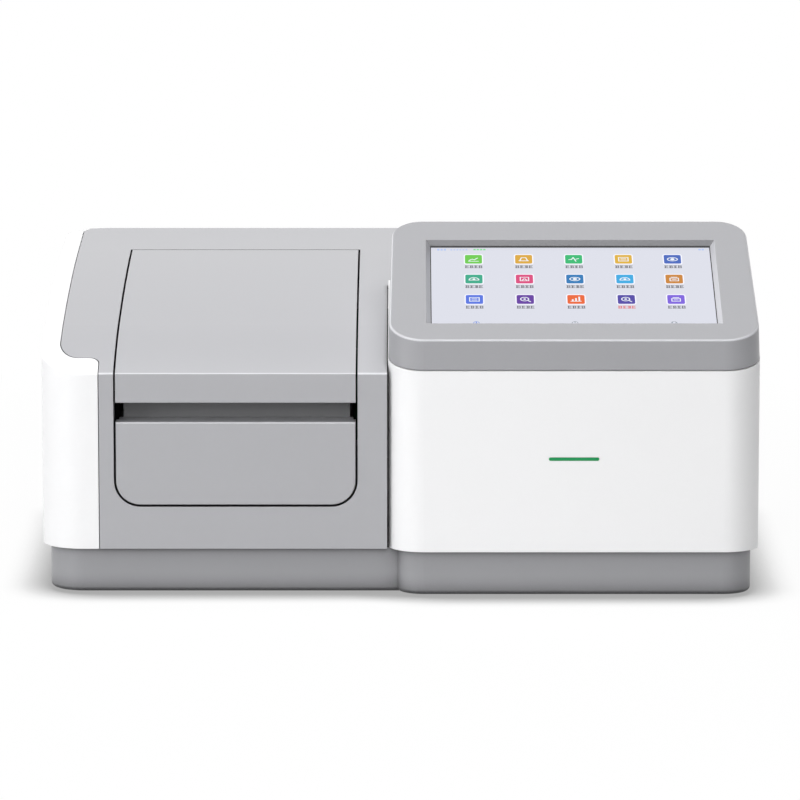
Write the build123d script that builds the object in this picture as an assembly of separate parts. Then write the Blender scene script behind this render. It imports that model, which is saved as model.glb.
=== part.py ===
from build123d import *
from math import cos, pi, radians, sin, tan
import os

# Bench-top UV-visible spectrophotometer, in millimetres. +Z is up, +X is the user's right, the
# display side, and -Y faces the user. The origin is on the bench under the centre of the footprint.

# Outer envelope
HALF_WIDTH = 280.0
RIGHT_FRONT_Y = -200.0      # front face of the right-hand block
LEFT_FRONT_Y = -186.0       # front face of the left-hand block, set back
REAR_Y = 197.0              # rear faces of both blocks
REAR_LIMIT_Y = 200.0        # back of what stands proud of the rear panel
SKIRT_Z = 37.0              # lower edge of the shells
WALL = 3.0
LEFT_CORNER_R = 33.0
FRONT_CORNER_R = 28.0
LEFT_END_X = -10.0          # where the left-hand block meets the right-hand one
RIGHT_START_X = -9.4

# Deck line, from the front edge back: brow arc, crown arc, then a straight run
DECK_FRONT_Z = 175.5
DECK_FRONT_SLOPE = 26.0
DECK_MID_SLOPE = 12.0
DECK_REAR_SLOPE = 4.1
BROW_R = 330.0
CROWN_R = 1525.0
DECK_EDGE_R = 2.0

# Display pod
POD_FRONT_Z = 179.4
POD_LINE_SLOPE = 13.2       # slope of the joint under the pod
POD_TOP_Z = 203.5
POD_TOP_SLOPE = 20.5
POD_REAR_Y = -12.0
POD_DRAFT = 2.0
POD_REAR_R = 27.0
POD_TOP_WALL = 5.0
SCREEN_WIDTH = 222.6
SCREEN_HEIGHT = 129.0
SCREEN_CENTRE_X = 135.7
SCREEN_CENTRE_S = 95.6      # distance up the slope from the front edge
RECESS_DEPTH = 4.8
RECESS_CHAMFER = 39.0

# White and grey split of the left-hand block
STRIP_X = 266.0             # half width over the grey deck
STRIP_FRONT_X = -234.6      # border on the front face
SEAM = 0.6
SEAM_DEPTH = 1.4

# Lid, finger slot and front panel
OPENING_X0 = -222.6
OPENING_X1 = -32.9
PANEL_GAP = 1.5
LID_REAR_Y = 106.2
LIP_Z = 152.3
SLOT_FLOOR_Z = 137.1
PANEL_BOTTOM_Z = 71.85
PANEL_CORNER_R = 19.0
HINGE_Y = 98.5
HINGE_Z = 221.0
HINGE_PIN_R = 2.0
KNUCKLE_R = 4.0

# Sample compartment
TUB_X0 = -216.0
TUB_X1 = -39.0
TUB_Y0 = -160.0
TUB_Y1 = 88.0
TUB_BOTTOM_Z = 74.0
TUB_WALL = 2.5
RIM_DROP = 12.0             # rim of the tub below the deck line
BEAM_Y = -30.0
BEAM_Z = 107.0
WINDOW_R = 9.0

# Cell changer
CELLS = 6
CELL_PITCH = 17.0
CELL_SIZE = 12.6
CARRIAGE_X = -127.5
CARRIAGE_BASE_Z = 80.0
POCKET_Z = 92.0
POST_TOP_Z = 128.0
ROD_R = 4.0
ROD_SPREAD = 15.0
ROD_Z = 86.0
RUNNING_FIT = 0.05
GEAR_MODULE = 1.0
PINION_TEETH = 16

# Optical bench and what stands on it
TRAY_FLOOR_Z = 2.0
TRAY_INSET = 6.0
FLOOR = 3.0
BENCH_Z = 16.0
BENCH_TOP_Z = 26.0
MONO_X0 = 24.0
MONO_X1 = 176.0
MONO_Y0 = -125.0
MONO_Y1 = 55.0
MONO_Z0 = 60.0
MONO_Z1 = 140.0
SOURCE_Y = -90.0            # line of the light entering the monochromator
SOURCE_X = 230.0
GRATING_X = 130.0
GRATING_Y = -35.0
WHEEL_Y = -74.0

# Rear face
PANEL_TOP_Z = 224.0
FAN_X = 200.0
FAN_Z = 130.0
FAN_SIZE = 60.0
INLET_X = -205.0
ROCKER_X = -160.0
POWER_Z = 84.0
ROCKER_TILT = 8.0


def block(x0, x1, y0, y1, z0, z1):
    """Box given by its limits."""
    centre = Pos((x0 + x1) / 2, (y0 + y1) / 2, (z0 + z1) / 2)
    return centre * Box(x1 - x0, y1 - y0, z1 - z0)


def rod(x, y, z, radius, length, axis=(0, 0, 1)):
    """Cylinder that starts at a point and runs along axis."""
    return Plane(origin=(x, y, z), z_dir=axis) * Pos(0, 0, length / 2) * Cylinder(radius, length)


def prism_z(sketch, z0, z1):
    return extrude(Pos(0, 0, z0) * sketch, z1 - z0)


def prism_x(face, x0=-HALF_WIDTH - 20, x1=HALF_WIDTH + 20):
    """Solid of an outline drawn in (Y, Z)."""
    return extrude(Pos(x0, 0, 0) * (Plane.YZ * face), x1 - x0)


def prism_y(face, y0, y1):
    """Solid of an outline drawn in (X, Z)."""
    return extrude(Plane(origin=(0, y0, 0), x_dir=(1, 0, 0), z_dir=(0, -1, 0)) * face, y0 - y1)


def fused(parts):
    total = parts[0]
    for part in parts[1:]:
        total = total + part
    return total


def plan(x0, x1, y0, y1, front_left=0.0, front_right=0.0, back_right=0.0, back_left=0.0):
    """Rectangle in plan with its own radius at each corner."""
    sketch = Pos((x0 + x1) / 2, (y0 + y1) / 2) * Rectangle(x1 - x0, y1 - y0)
    corners = ((x0, y0, front_left), (x1, y0, front_right), (x1, y1, back_right), (x0, y1, back_left))
    for x, y, radius in corners:
        if radius > 0:
            sketch = fillet(sketch.vertices().sort_by_distance((x, y, 0))[0], radius)
    return sketch


def left_plan(inset):
    """Left-hand block and the rear deck behind the display pod."""
    radius = LEFT_CORNER_R - inset
    left = plan(-HALF_WIDTH + inset, LEFT_END_X - inset, LEFT_FRONT_Y + inset, REAR_Y - inset,
                front_left=radius, back_left=radius)
    rear = plan(LEFT_END_X - 40, HALF_WIDTH - inset, POD_REAR_Y + inset, REAR_Y - inset,
                back_right=radius)
    return left + rear


def right_plan(inset):
    """Right-hand block."""
    radius = FRONT_CORNER_R - inset
    return plan(RIGHT_START_X + inset, HALF_WIDTH - inset, RIGHT_FRONT_Y + inset, REAR_Y - inset,
                radius, radius, LEFT_CORNER_R - inset)


def deck_face(drop):
    """Everything under the deck line in (Y, Z), with the line moved inwards by drop."""
    slope = radians(DECK_FRONT_SLOPE)
    start = (LEFT_FRONT_Y + drop * sin(slope), DECK_FRONT_Z - drop * cos(slope))
    ahead = (start[0] - 40 * cos(slope), start[1] - 40 * sin(slope))
    brow = JernArc(start, (cos(slope), sin(slope)), BROW_R - drop, DECK_MID_SLOPE - DECK_FRONT_SLOPE)
    crown = JernArc(brow @ 1, brow % 1, CROWN_R - drop, DECK_REAR_SLOPE - DECK_MID_SLOPE)
    tail = PolarLine(crown @ 1, 140, direction=crown % 1)
    end = tail @ 1
    rest = Polyline((end.X, end.Y), (end.X, 0), (ahead[0], 0), ahead)
    return make_face([Line(ahead, start), brow, crown, tail, rest])


def under_deck(drop=0.0):
    return prism_x(deck_face(drop))


def sloped_face(z, slope, drop=0.0):
    """Everything under a straight line through height z at the front face, in (Y, Z)."""
    rise = tan(radians(slope))
    top = z - drop / cos(radians(slope))
    y0, y1 = RIGHT_FRONT_Y - 40, 60
    return make_face(Polyline((y0, 0), (y1, 0), (y1, top + (y1 - RIGHT_FRONT_Y) * rise),
                              (y0, top - 40 * rise), (y0, 0)))


def edges_near(part, y, z, reach=0.6):
    """Edges along X that pass a point of the (Y, Z) plane."""
    near = [e for e in part.edges().filter_by(Axis.X)
            if abs(e.center().Y - y) < reach and abs(e.center().Z - z) < reach]
    return ShapeList(near)


def top_edges(part, low_z):
    """Edges that bound the upper surface, away from the cut on the right of the left-hand block."""
    kept = []
    for edge in part.edges():
        a, b = edge @ 0, edge @ 1
        upright = abs(a.X - b.X) < 0.01 and abs(a.Y - b.Y) < 0.01
        inner = edge.center().Y < POD_REAR_Y + 0.1 and edge.center().X > LEFT_END_X - 10
        if edge.center().Z > low_z and not upright and not inner:
            kept.append(edge)
    return ShapeList(kept)


def opened_below(shell, outline):
    """Shell with an inward flange left at its lower edge, which rests on the base tray."""
    return shell - prism_z(outline, SKIRT_Z - 5, SKIRT_Z + 6)


FLANGE_INSET = 8.0
FLANGE = 2.5


def left_body():
    """Shell of the left-hand block and rear deck, before it is split by colour."""
    outer = prism_z(left_plan(0), SKIRT_Z, 300) & under_deck()
    outer = fillet(top_edges(outer, 150), DECK_EDGE_R)
    inner = prism_z(left_plan(WALL), SKIRT_Z + FLANGE, 300) & under_deck(WALL)
    shell = opened_below(outer - inner, left_plan(FLANGE_INSET))
    # Only a short return wall stays where the two blocks meet
    rear = POD_REAR_Y + FLANGE_INSET + 1
    return shell - (block(LEFT_END_X - 9, HALF_WIDTH + 5, -150, rear, 0, 300) & under_deck(WALL))


def white_border(gap):
    """Plan of the white strip at the left: an S-curve at the front, a short slant at the back."""
    x = -STRIP_X - gap
    front_x = STRIP_FRONT_X - gap
    step_y = -166.0 - gap
    start = (front_x, -230)
    low = Line(start, (front_x, step_y - 7.5))
    small = JernArc(low @ 1, (0, 1), 7.5, 90)
    flat = Line(small @ 1, (x + 15, step_y))
    sweep = EllipticalCenterArc((x + 15, step_y + 23), 15, 23, 180, arc_size=90)
    side = Line((x, step_y + 23), (x, 181))
    slant = Line((x, 181), (x + 9.5, 201))
    rest = Polyline((x + 9.5, 201), (x + 9.5, 230), (-330, 230), (-330, -230), start)
    return make_face([low, small, flat, sweep, side, slant, rest])


def rear_cover_region():
    """Rear face between the corners and below the deck lip, which belongs to the rear panel."""
    return block(-244, 244, 150, REAR_Y + 5, 0, PANEL_TOP_Z)


def right_strip(gap):
    """Plan of the white strip at the right, behind the display pod."""
    x = STRIP_X + gap
    return make_face(Polyline((x, -300), (x, 181), (x - 9.5, 201), (x - 9.5, 230), (330, 230),
                              (330, -300), (x, -300)))


def corner_skin(side):
    """Rear corner below the deck lip, which stays with the side shell."""
    inner, outer = sorted((side * 244, side * 300))
    return block(inner, outer, 150, 230, 0, PANEL_TOP_Z)


def not_grey(gap):
    """Everything that belongs to the white mouldings and the rear panel."""
    strips = prism_z(white_border(-gap), 0, 300) + prism_z(right_strip(-gap), 0, 300)
    return strips + block(-300, 300, 150, 230, 0, PANEL_TOP_Z + gap)


def left_side_shell(body):
    strip = prism_z(white_border(0), 0, 300)
    return (body & (strip + corner_skin(-1))) - rear_cover_region()


def compartment_fascia(body):
    """Grey moulding: deck, front face and rear deck, with the opening for lid and front panel."""
    core = prism_z(left_plan(SEAM_DEPTH), 0, 300) & under_deck(SEAM_DEPTH)
    seam = not_grey(SEAM) - core
    grey = body - not_grey(0) - seam
    # The rear edge of the opening leans back, so the lid's edge can swing down past it
    mouth = make_face(Polyline((-230, 0), (80, 0), (80, 190), (112.6, 225), (107.4, 232.1), (107.4, 300),
                               (-230, 300), (-230, 0)))
    low = PANEL_BOTTOM_Z - PANEL_GAP
    radius = PANEL_CORNER_R + PANEL_GAP
    width = OPENING_X1 - OPENING_X0
    centre_x = (OPENING_X0 + OPENING_X1) / 2

    def outline(extra):
        shape = Pos(centre_x, (low - extra + 400) / 2) * Rectangle(width + 2 * extra, 400 - low + extra)
        return fillet(shape.vertices().group_by(Axis.Y)[0], radius + extra)

    # A return wall round the opening, deep at the front and shallow along the deck
    collar = prism_y(outline(2), LEFT_FRONT_Y + 1, 100) & under_deck(1)
    collar = collar - (under_deck(13) & block(-300, 0, LEFT_FRONT_Y + 16, 150, 0, 300))
    tabs = [block(x - 8, x + 8, TAB_Y0, TAB_Y1, z - 8, 236) for x, z in REAR_SCREWS if z > 150]
    grey = fused([grey, collar] + tabs) - (prism_y(outline(0), -230, 150) & prism_x(mouth))
    for x, z in REAR_SCREWS:
        grey = grey - rod(x, TAB_Y0 - 1, z, SCREW_R, 8, (0, 1, 0))
    return grey


def lower_right_body():
    """Shell of the right-hand block, with a deck under the display pod."""
    line = sloped_face(POD_FRONT_Z, POD_LINE_SLOPE)
    ahead = block(-300, 300, -300, POD_REAR_Y, 0, 400)
    behind = block(-300, 300, POD_REAR_Y, 300, 0, 400)
    solid = prism_z(right_plan(0), SKIRT_Z, 300)
    front = solid & prism_x(line) & ahead
    rear = solid & under_deck() & behind
    rear = fillet(rear.edges().filter_by(lambda e: e.center().X > 240 and e.center().Z > 150
                                         and e.center().Y > POD_REAR_Y + 1
                                         and abs((e @ 0).Z - (e @ 1).Z) < 60), DECK_EDGE_R)
    core = prism_z(right_plan(WALL), SKIRT_Z + FLANGE, 300)
    hollow = core & prism_x(sloped_face(POD_FRONT_Z, POD_LINE_SLOPE, WALL)) & ahead
    hollow = hollow + (core & under_deck(WALL) & behind)
    return opened_below(front + rear - hollow, right_plan(FLANGE_INSET))


def right_housing():
    """White moulding: front, right side and the deck that carries the display pod."""
    shell = lower_right_body()
    front = block(-300, 300, -300, POD_REAR_Y, 0, 300)
    white = shell & (front + prism_z(right_strip(0), 0, 300) + corner_skin(1))
    white = white - rear_cover_region()
    # Cable and board opening under the pod, light path to the sample compartment, indicator slot
    white = white - block(20, 252, -178, POD_REAR_Y - 22, 170, 260)
    white = white - rod(RIGHT_START_X - 5, BEAM_Y, BEAM_Z, 12, 20, (1, 0, 0))
    white = white - status_slot(0.1, 20)
    return white


STATUS_X0 = 115.4
STATUS_X1 = 154.5
STATUS_Z = 110.5
STATUS_WIDTH = 2.6


def status_slot(gap, depth):
    """Stadium-shaped bar let into the front face."""
    length = STATUS_X1 - STATUS_X0 + 2 * gap
    shape = Pos((STATUS_X0 + STATUS_X1) / 2, STATUS_Z) * SlotOverall(length, STATUS_WIDTH + 2 * gap)
    return prism_y(shape, RIGHT_FRONT_Y - 1, RIGHT_FRONT_Y + depth)


def status_light_bar():
    """Light pipe with a flange behind the wall."""
    bar = status_slot(0, WALL) & block(0, 300, RIGHT_FRONT_Y + 0.1, 0, 0, 300)
    flange = block(STATUS_X0 - 3, STATUS_X1 + 3, RIGHT_FRONT_Y + WALL, RIGHT_FRONT_Y + WALL + 2,
                   STATUS_Z - 4, STATUS_Z + 4)
    return bar + flange


def screen_plane(depth=0.0):
    """Plane of the pod's upper face, with X across and Y up the slope."""
    slope = radians(POD_TOP_SLOPE)
    front = Plane(origin=(SCREEN_CENTRE_X, RIGHT_FRONT_Y, POD_TOP_Z), x_dir=(1, 0, 0),
                  z_dir=(0, -sin(slope), cos(slope)))
    return Plane(origin=front.from_local_coords((0, SCREEN_CENTRE_S, -depth)), x_dir=(1, 0, 0),
                 z_dir=front.z_dir)


def display_bezel():
    """Drafted pod whose upper face slopes more than the joint under it, with a chamfered window."""
    def drafted(inset, draft_from):
        base = plan(RIGHT_START_X + inset, HALF_WIDTH - inset, RIGHT_FRONT_Y + inset,
                    POD_REAR_Y - inset, FRONT_CORNER_R - inset, FRONT_CORNER_R - inset,
                    POD_REAR_R - inset, POD_REAR_R - inset)
        return extrude(Pos(0, 0, draft_from) * base, 120, taper=POD_DRAFT)

    upper = prism_x(sloped_face(POD_TOP_Z, POD_TOP_SLOPE))
    line = prism_x(sloped_face(POD_FRONT_Z, POD_LINE_SLOPE))
    pod = (drafted(0, POD_FRONT_Z) & upper) - line
    top = screen_plane()
    rim = [e for e in pod.edges() if abs(top.to_local_coords(e @ 0).Z) < 0.01
           and abs(top.to_local_coords(e @ 1).Z) < 0.01]
    pod = fillet(ShapeList(rim), DECK_EDGE_R)
    hollow = drafted(WALL, POD_FRONT_Z) & prism_x(sloped_face(POD_TOP_Z, POD_TOP_SLOPE, POD_TOP_WALL))
    pod = pod - hollow
    # Shadow groove round the joint, outside the part of the wall that rests on the housing
    groove = prism_x(sloped_face(POD_FRONT_Z, POD_LINE_SLOPE, -0.9)) - drafted(1.4, POD_FRONT_Z)
    pod = pod - groove
    window = extrude(screen_plane(RECESS_DEPTH) * Rectangle(SCREEN_WIDTH, SCREEN_HEIGHT),
                     RECESS_DEPTH + 1, taper=-RECESS_CHAMFER)
    through = extrude(screen_plane(POD_TOP_WALL + 1) * Rectangle(SCREEN_WIDTH, SCREEN_HEIGHT), 3)
    pod = pod - window - through
    return pod


def touch_glass():
    """Cover glass, held against the underside of the pod's upper wall."""
    glass = Rectangle(SCREEN_WIDTH + 12, SCREEN_HEIGHT + 9)
    return extrude(screen_plane(POD_TOP_WALL + 1.5) * glass, 1.5)


def display_module():
    """Panel with its metal frame, and the driver board on its back."""
    panel = extrude(screen_plane(POD_TOP_WALL + 7.5) * Rectangle(SCREEN_WIDTH + 12, SCREEN_HEIGHT + 9), 6)
    board = extrude(screen_plane(POD_TOP_WALL + 11) * Rectangle(120, 70), 3.5)
    return panel + board


def display_ribbon():
    """Flat cable from the driver board back and down to the main board."""
    start = screen_plane(POD_TOP_WALL + 11).from_local_coords((0, 0, 0))
    path = FilletPolyline((start.Y, start.Z - 0.19), (start.Y, 168), (140, 168), (140, 150), (171, 150), radius=6)
    strip = trace(path, 1.0)
    return prism_x(strip, 60, 80)


def base_tray():
    """Grey plinth: a tray with bosses, stiffening ribs, foot sockets and a vent grille."""
    def outline(inset):
        right = plan(RIGHT_START_X + inset, HALF_WIDTH - inset, RIGHT_FRONT_Y + inset, REAR_Y - inset,
                     FRONT_CORNER_R - inset, FRONT_CORNER_R - inset, LEFT_CORNER_R - inset)
        left = plan(-HALF_WIDTH + inset, 60, LEFT_FRONT_Y + inset, REAR_Y - inset,
                    LEFT_CORNER_R - inset, 0, 0, LEFT_CORNER_R - inset)
        return left + right

    outer = prism_z(outline(TRAY_INSET), TRAY_FLOOR_Z, SKIRT_Z)
    outer = fillet(outer.faces().sort_by(Axis.Z)[0].edges(), 3.5)
    tongue = prism_z(outline(FLANGE_INSET + 0.3), SKIRT_Z, SKIRT_Z + 5)
    # The tongue stops where the walls of the two blocks meet above it
    tongue = tongue - block(LEFT_END_X - 9, LEFT_END_X + 9.2, -195, -160, SKIRT_Z, SKIRT_Z + 6)
    hollow = prism_z(outline(TRAY_INSET + 4), TRAY_FLOOR_Z + FLOOR, SKIRT_Z + 6)
    tray = outer + tongue - hollow
    floor_z = TRAY_FLOOR_Z + FLOOR
    bosses = [rod(x, y, floor_z - 1, 9, BENCH_Z - floor_z + 1) for x, y in BENCH_BOSSES]
    ribs = [block(x - 1.5, x + 1.5, -172, 130, floor_z - 0.5, floor_z + 7) for x in (-140, -30, 90, 185)]
    tabs = [block(x - 8, x + 8, TAB_Y0, TAB_Y1, SKIRT_Z - 8, z + 8) for x, z in REAR_SCREWS if z < 150]
    tray = fused([tray] + bosses + ribs + tabs)
    for x, z in REAR_SCREWS:
        tray = tray - rod(x, TAB_Y0 - 1, z, SCREW_R, 8, (0, 1, 0))
    for x, y in FEET:
        tray = tray - rod(x, y, 0, FOOT_R + 0.1, TRAY_FLOOR_Z + 2)
    for x, y in BENCH_BOSSES:
        tray = tray - rod(x, y, 0, SCREW_R + 0.2, BENCH_Z + 1) - rod(x, y, 0, SCREW_HEAD_R + 0.5, 6.5)
    for row in range(9):
        tray = tray - block(205, 255, -60 + 9 * row, -57 + 9 * row, 0, floor_z + 1)
    return tray


FEET = [(-235, -148), (235, -148), (-235, 155), (235, 155)]
FOOT_R = 15.0
BENCH_BOSSES = [(-200, -110), (-200, 90), (0, -110), (0, 90), (215, -110), (215, 90)]
SCREW_R = 2.0
SCREW_HEAD_R = 3.8


def rubber_feet():
    """Four feet, set into the tray and standing 2 mm below it."""
    feet = []
    for x, y in FEET:
        foot = rod(x, y, TRAY_FLOOR_Z, FOOT_R, 2) + Pos(x, y, 1) * Cone(FOOT_R - 2, FOOT_R - 1, 2)
        feet.append(foot)
    return feet


def pan_screw(x, y, z, axis, shank):
    """Pan-head screw whose head sits at the point and whose shank runs against axis."""
    plane = Plane(origin=(x, y, z), z_dir=axis)
    head = plane * Pos(0, 0, 1.1) * Cylinder(SCREW_HEAD_R, 2.2)
    head = fillet(head.edges().filter_by(GeomType.CIRCLE).sort_by_distance(
        (x + 9 * axis[0], y + 9 * axis[1], z + 9 * axis[2]))[0], 0.9)
    drive = plane * Pos(0, 0, 1.7) * (Box(0.8, 4, 1.2) + Box(4, 0.8, 1.2))
    return head - drive + plane * Pos(0, 0, -shank / 2) * Cylinder(SCREW_R, shank)


def bench_screws():
    """Screws up through the tray into the optical bench."""
    return [pan_screw(x, y, 6.5, (0, 0, -1), 18) for x, y in BENCH_BOSSES]


# Screws of the rear panel, and the tabs in front of it that take them
REAR_SCREWS = [(-232, 52), (-232, 212), (232, 52), (232, 212), (0, 212), (0, 52)]
TAB_Y0 = 184.0
TAB_Y1 = 189.0


def rear_screws():
    return [pan_screw(x, REAR_Y, z, (0, 1, 0), 12) for x, z in REAR_SCREWS]


def rear_panel():
    """Cover plate with louvres, and cut-outs for the fan, power inlet, switch and sockets."""
    panel = block(-243.4, 243.4, REAR_Y - WALL, REAR_Y, SKIRT_Z, PANEL_TOP_Z - 0.4)
    # The lower flange rests on the tray; bosses space the panel from the screw tabs
    panel = panel + block(-243.4, 243.4, TAB_Y1, REAR_Y - 1, SKIRT_Z, SKIRT_Z + FLANGE)
    for x, z in REAR_SCREWS:
        panel = panel + rod(x, TAB_Y1, z, 5.5, REAR_Y - TAB_Y1 - 1, (0, 1, 0))
        panel = panel - rod(x, TAB_Y1 - 1, z, SCREW_R + 0.2, 20, (0, 1, 0))
    panel = panel - rod(FAN_X, REAR_Y - 10, FAN_Z, FAN_SIZE / 2 - 2, 20, (0, 1, 0))
    panel = panel - block(INLET_X - INLET_W / 2, INLET_X + INLET_W / 2, 180, 210,
                          POWER_Z - INLET_H / 2, POWER_Z + INLET_H / 2)
    panel = panel - block(ROCKER_X - 9.6, ROCKER_X + 9.6, 180, 210, POWER_Z - 13.6, POWER_Z + 13.6)
    for x0, x1, z0, z1 in PORTS.values():
        panel = panel - block(x0 - 0.1, x1 + 0.1, 180, 210, z0 - 0.1, z1 + 0.1)
    for column in (40.0, 95.0):
        for row in range(10):
            slot = Pos(column + 22, 90 + 9 * row) * SlotOverall(44, 3.2)
            panel = panel - prism_y(slot, 180, 210)
    return panel


INLET_W = 27.4
INLET_H = 20.4
PORTS = {"square_socket": (-66, -54, 90, 101), "wide_pair": (-42, -27.5, 88, 103.6),
         "network": (-10, 6, 88, 102), "serial": (-74, -43, 122, 134)}


def power_inlet():
    """Three-pin snap-in appliance inlet, its pins well inside the mouth."""
    body = block(INLET_X - INLET_W / 2, INLET_X + INLET_W / 2, 176, REAR_Y,
                 POWER_Z - INLET_H / 2, POWER_Z + INLET_H / 2)
    flange = Pos(INLET_X, POWER_Z) * RectangleRounded(INLET_W + 4, INLET_H + 4, 3)
    inlet = body + prism_y(flange, REAR_Y, REAR_LIMIT_Y - 0.5)
    mouth = Pos(INLET_X, POWER_Z) * Rectangle(24, 16)
    mouth = chamfer(mouth.vertices().group_by(Axis.Y)[-1], 3.5)
    inlet = inlet - prism_y(mouth, 182, REAR_LIMIT_Y + 1)
    for dx, dz in ((-7, -2), (7, -2), (0, 3)):
        pin = block(INLET_X + dx - 1, INLET_X + dx + 1, 181, 194, POWER_Z + dz - 2, POWER_Z + dz + 2)
        inlet = inlet + pin
    return inlet


def rocker_frame():
    """Frame of the mains switch, with trunnion holes for the rocker."""
    frame = block(ROCKER_X - 9.5, ROCKER_X + 9.5, 178, REAR_Y, POWER_Z - 13.5, POWER_Z + 13.5)
    flange = Pos(ROCKER_X, POWER_Z) * RectangleRounded(23, 31, 2)
    frame = frame + prism_y(flange, REAR_Y, REAR_Y + 1.5)
    frame = frame - block(ROCKER_X - 7, ROCKER_X + 7, 184, 205, POWER_Z - 11.5, POWER_Z + 11.5)
    return frame - rod(ROCKER_X - 9, ROCKER_AXIS_Y, POWER_Z, 1.2 + RUNNING_FIT, 18, (1, 0, 0))


ROCKER_AXIS_Y = 192.0


def power_rocker():
    """Rocker, resting with its lower half pressed in; its face is a shallow V."""
    y = ROCKER_AXIS_Y
    face = make_face(Polyline((y - 3, -6), (y + 4, -10.2), (y + 6.2, -10.2), (y + 4.8, 0), (y + 6.2, 10.2),
                              (y + 4, 10.2), (y - 3, 6), (y - 3, -6)))
    paddle = prism_x(face, ROCKER_X - 6.6, ROCKER_X + 6.6)
    pivot = rod(ROCKER_X - 8.8, ROCKER_AXIS_Y, 0, 1.2, 17.6, (1, 0, 0))
    rocker = Pos(0, 0, POWER_Z) * (paddle + pivot)
    return rocker.rotate(Axis((0, ROCKER_AXIS_Y, POWER_Z), (1, 0, 0)), -ROCKER_TILT)


def io_ports():
    """Data sockets on the rear edge of the main board, each a shell with its own mouth."""
    ports = []
    for name, (x0, x1, z0, z1) in PORTS.items():
        shell = block(x0, x1, BOARD_Y, REAR_Y + 0.5, z0, z1)
        if name == "serial":
            plug = Pos((x0 + x1) / 2, (z0 + z1) / 2) * Trapezoid(18, 8.6, 80, rotation=180)
            shell = shell - prism_y(plug, 193, 205)
            face = Pos((x0 + x1) / 2, (z0 + z1) / 2) * Trapezoid(16.4, 7.4, 80, rotation=180)
            shell = shell + prism_y(face, 192, 196.6)
            for side in (-12.5, 12.5):
                shell = shell + rod((x0 + x1) / 2 + side, REAR_Y, (z0 + z1) / 2, 2.4, 2.4, (0, 1, 0))
        elif name == "network":
            shell = shell - block(x0 + 2, x1 - 2, 182, 205, z0 + 3.4, z1 - 2.6)
            shell = shell - block(x0 + 5, x1 - 5, 186, 205, z0 + 1.6, z0 + 4)
        elif name == "wide_pair":
            for low in (z0 + 1.1, z0 + 8.6):
                shell = shell - block(x0 + 0.8, x1 - 0.8, 184, 205, low, low + 5.8)
                shell = shell + block(x0 + 1.6, x1 - 1.6, 183, 195, low + 3, low + 5)
        else:
            shell = shell - block(x0 + 1.6, x1 - 1.6, 184, 205, z0 + 1.4, z1 - 1.4)
            shell = shell + block(x0 + 3, x1 - 3, 183, 195, z0 + 3.6, z1 - 3.6)
        ports.append(shell)
    return ports


BOARD_Y = 177.6
BOARD = (-90.0, 90.0, 60.0, 172.0)


def main_board():
    """Controller board, upright behind the rear panel, with its larger packages."""
    x0, x1, z0, z1 = BOARD
    board = block(x0, x1, BOARD_Y - 1.6, BOARD_Y, z0, z1)
    packages = [(-60, -32, 110, 138, 2.5), (-10, 20, 100, 122, 2), (35, 75, 70, 86, 9), (-75, -50, 72, 86, 6),
                (58, 82, 144, 156, 5), (-30, -12, 72, 90, 11)]
    for a, b, c, d, height in packages:
        board = board + block(a, b, BOARD_Y - 1.6 - height, BOARD_Y - 1.5, c, d)
    for x, z in BOARD_HOLES:
        board = board - rod(x, BOARD_Y - 5, z, 1.6, 10, (0, 1, 0))
    return board


BOARD_HOLES = [(-84, 66), (84, 66), (-84, 166), (84, 166)]


def board_standoffs():
    """Hexagonal pillars between the main board and the rear panel, with a stud into the board."""
    pillars = []
    length = REAR_Y - WALL - BOARD_Y
    for x, z in BOARD_HOLES:
        plane = Plane(origin=(x, BOARD_Y, z), z_dir=(0, 1, 0))
        pillar = extrude(plane * RegularPolygon(3.2, 6), length)
        pillars.append(pillar + rod(x, BOARD_Y - 3, z, 1.5, 3.2, (0, 1, 0)))
    return pillars


def power_supply():
    """Open-sided metal-cased supply, standing on the tray floor."""
    x0, x1, y0, y1 = -236, -108, 138, 172
    z0, z1 = TRAY_FLOOR_Z + FLOOR, 103
    case = block(x0, x1, y0, y1, z0, z1)
    case = case - block(x0 + 8, x1 - 8, y0 - 1, y0 + 6, z0 + 10, z1 - 8)
    for row in range(8):
        case = case - block(x0 + 14, x1 - 14, y1 - 2, y1 + 1, z0 + 16 + 9 * row, z0 + 19 + 9 * row)
    terminals = block(x0 + 14, x1 - 50, y0 - 4, y0 + 7, z0 + 10, z0 + 22)
    return case + terminals


def fan_frame():
    """Square fan body with a venturi, four ears and three struts behind the hub."""
    y0, y1 = REAR_Y - WALL - 20, REAR_Y - WALL
    shape = Pos(FAN_X, FAN_Z) * RectangleRounded(FAN_SIZE, FAN_SIZE, 4)
    frame = prism_y(shape, y0, y1)
    frame = frame - rod(FAN_X, y0 - 1, FAN_Z, 28, 22, (0, 1, 0))
    hub = rod(FAN_X, y0, FAN_Z, 11, 4, (0, 1, 0))
    struts = [block(-1.5, 1.5, y0, y0 + 3, 9, 29).rotate(Axis.Y, 120 * k + 15).translate((FAN_X, 0, FAN_Z))
              for k in range(3)]
    frame = fused([frame, hub] + struts)
    for dx in (-25, 25):
        for dz in (-25, 25):
            frame = frame - rod(FAN_X + dx, y0 - 1, FAN_Z + dz, 2.2, 22, (0, 1, 0))
    return frame - rod(FAN_X, y0 + 1, FAN_Z, 1.5 + RUNNING_FIT, 5, (0, 1, 0))


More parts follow.
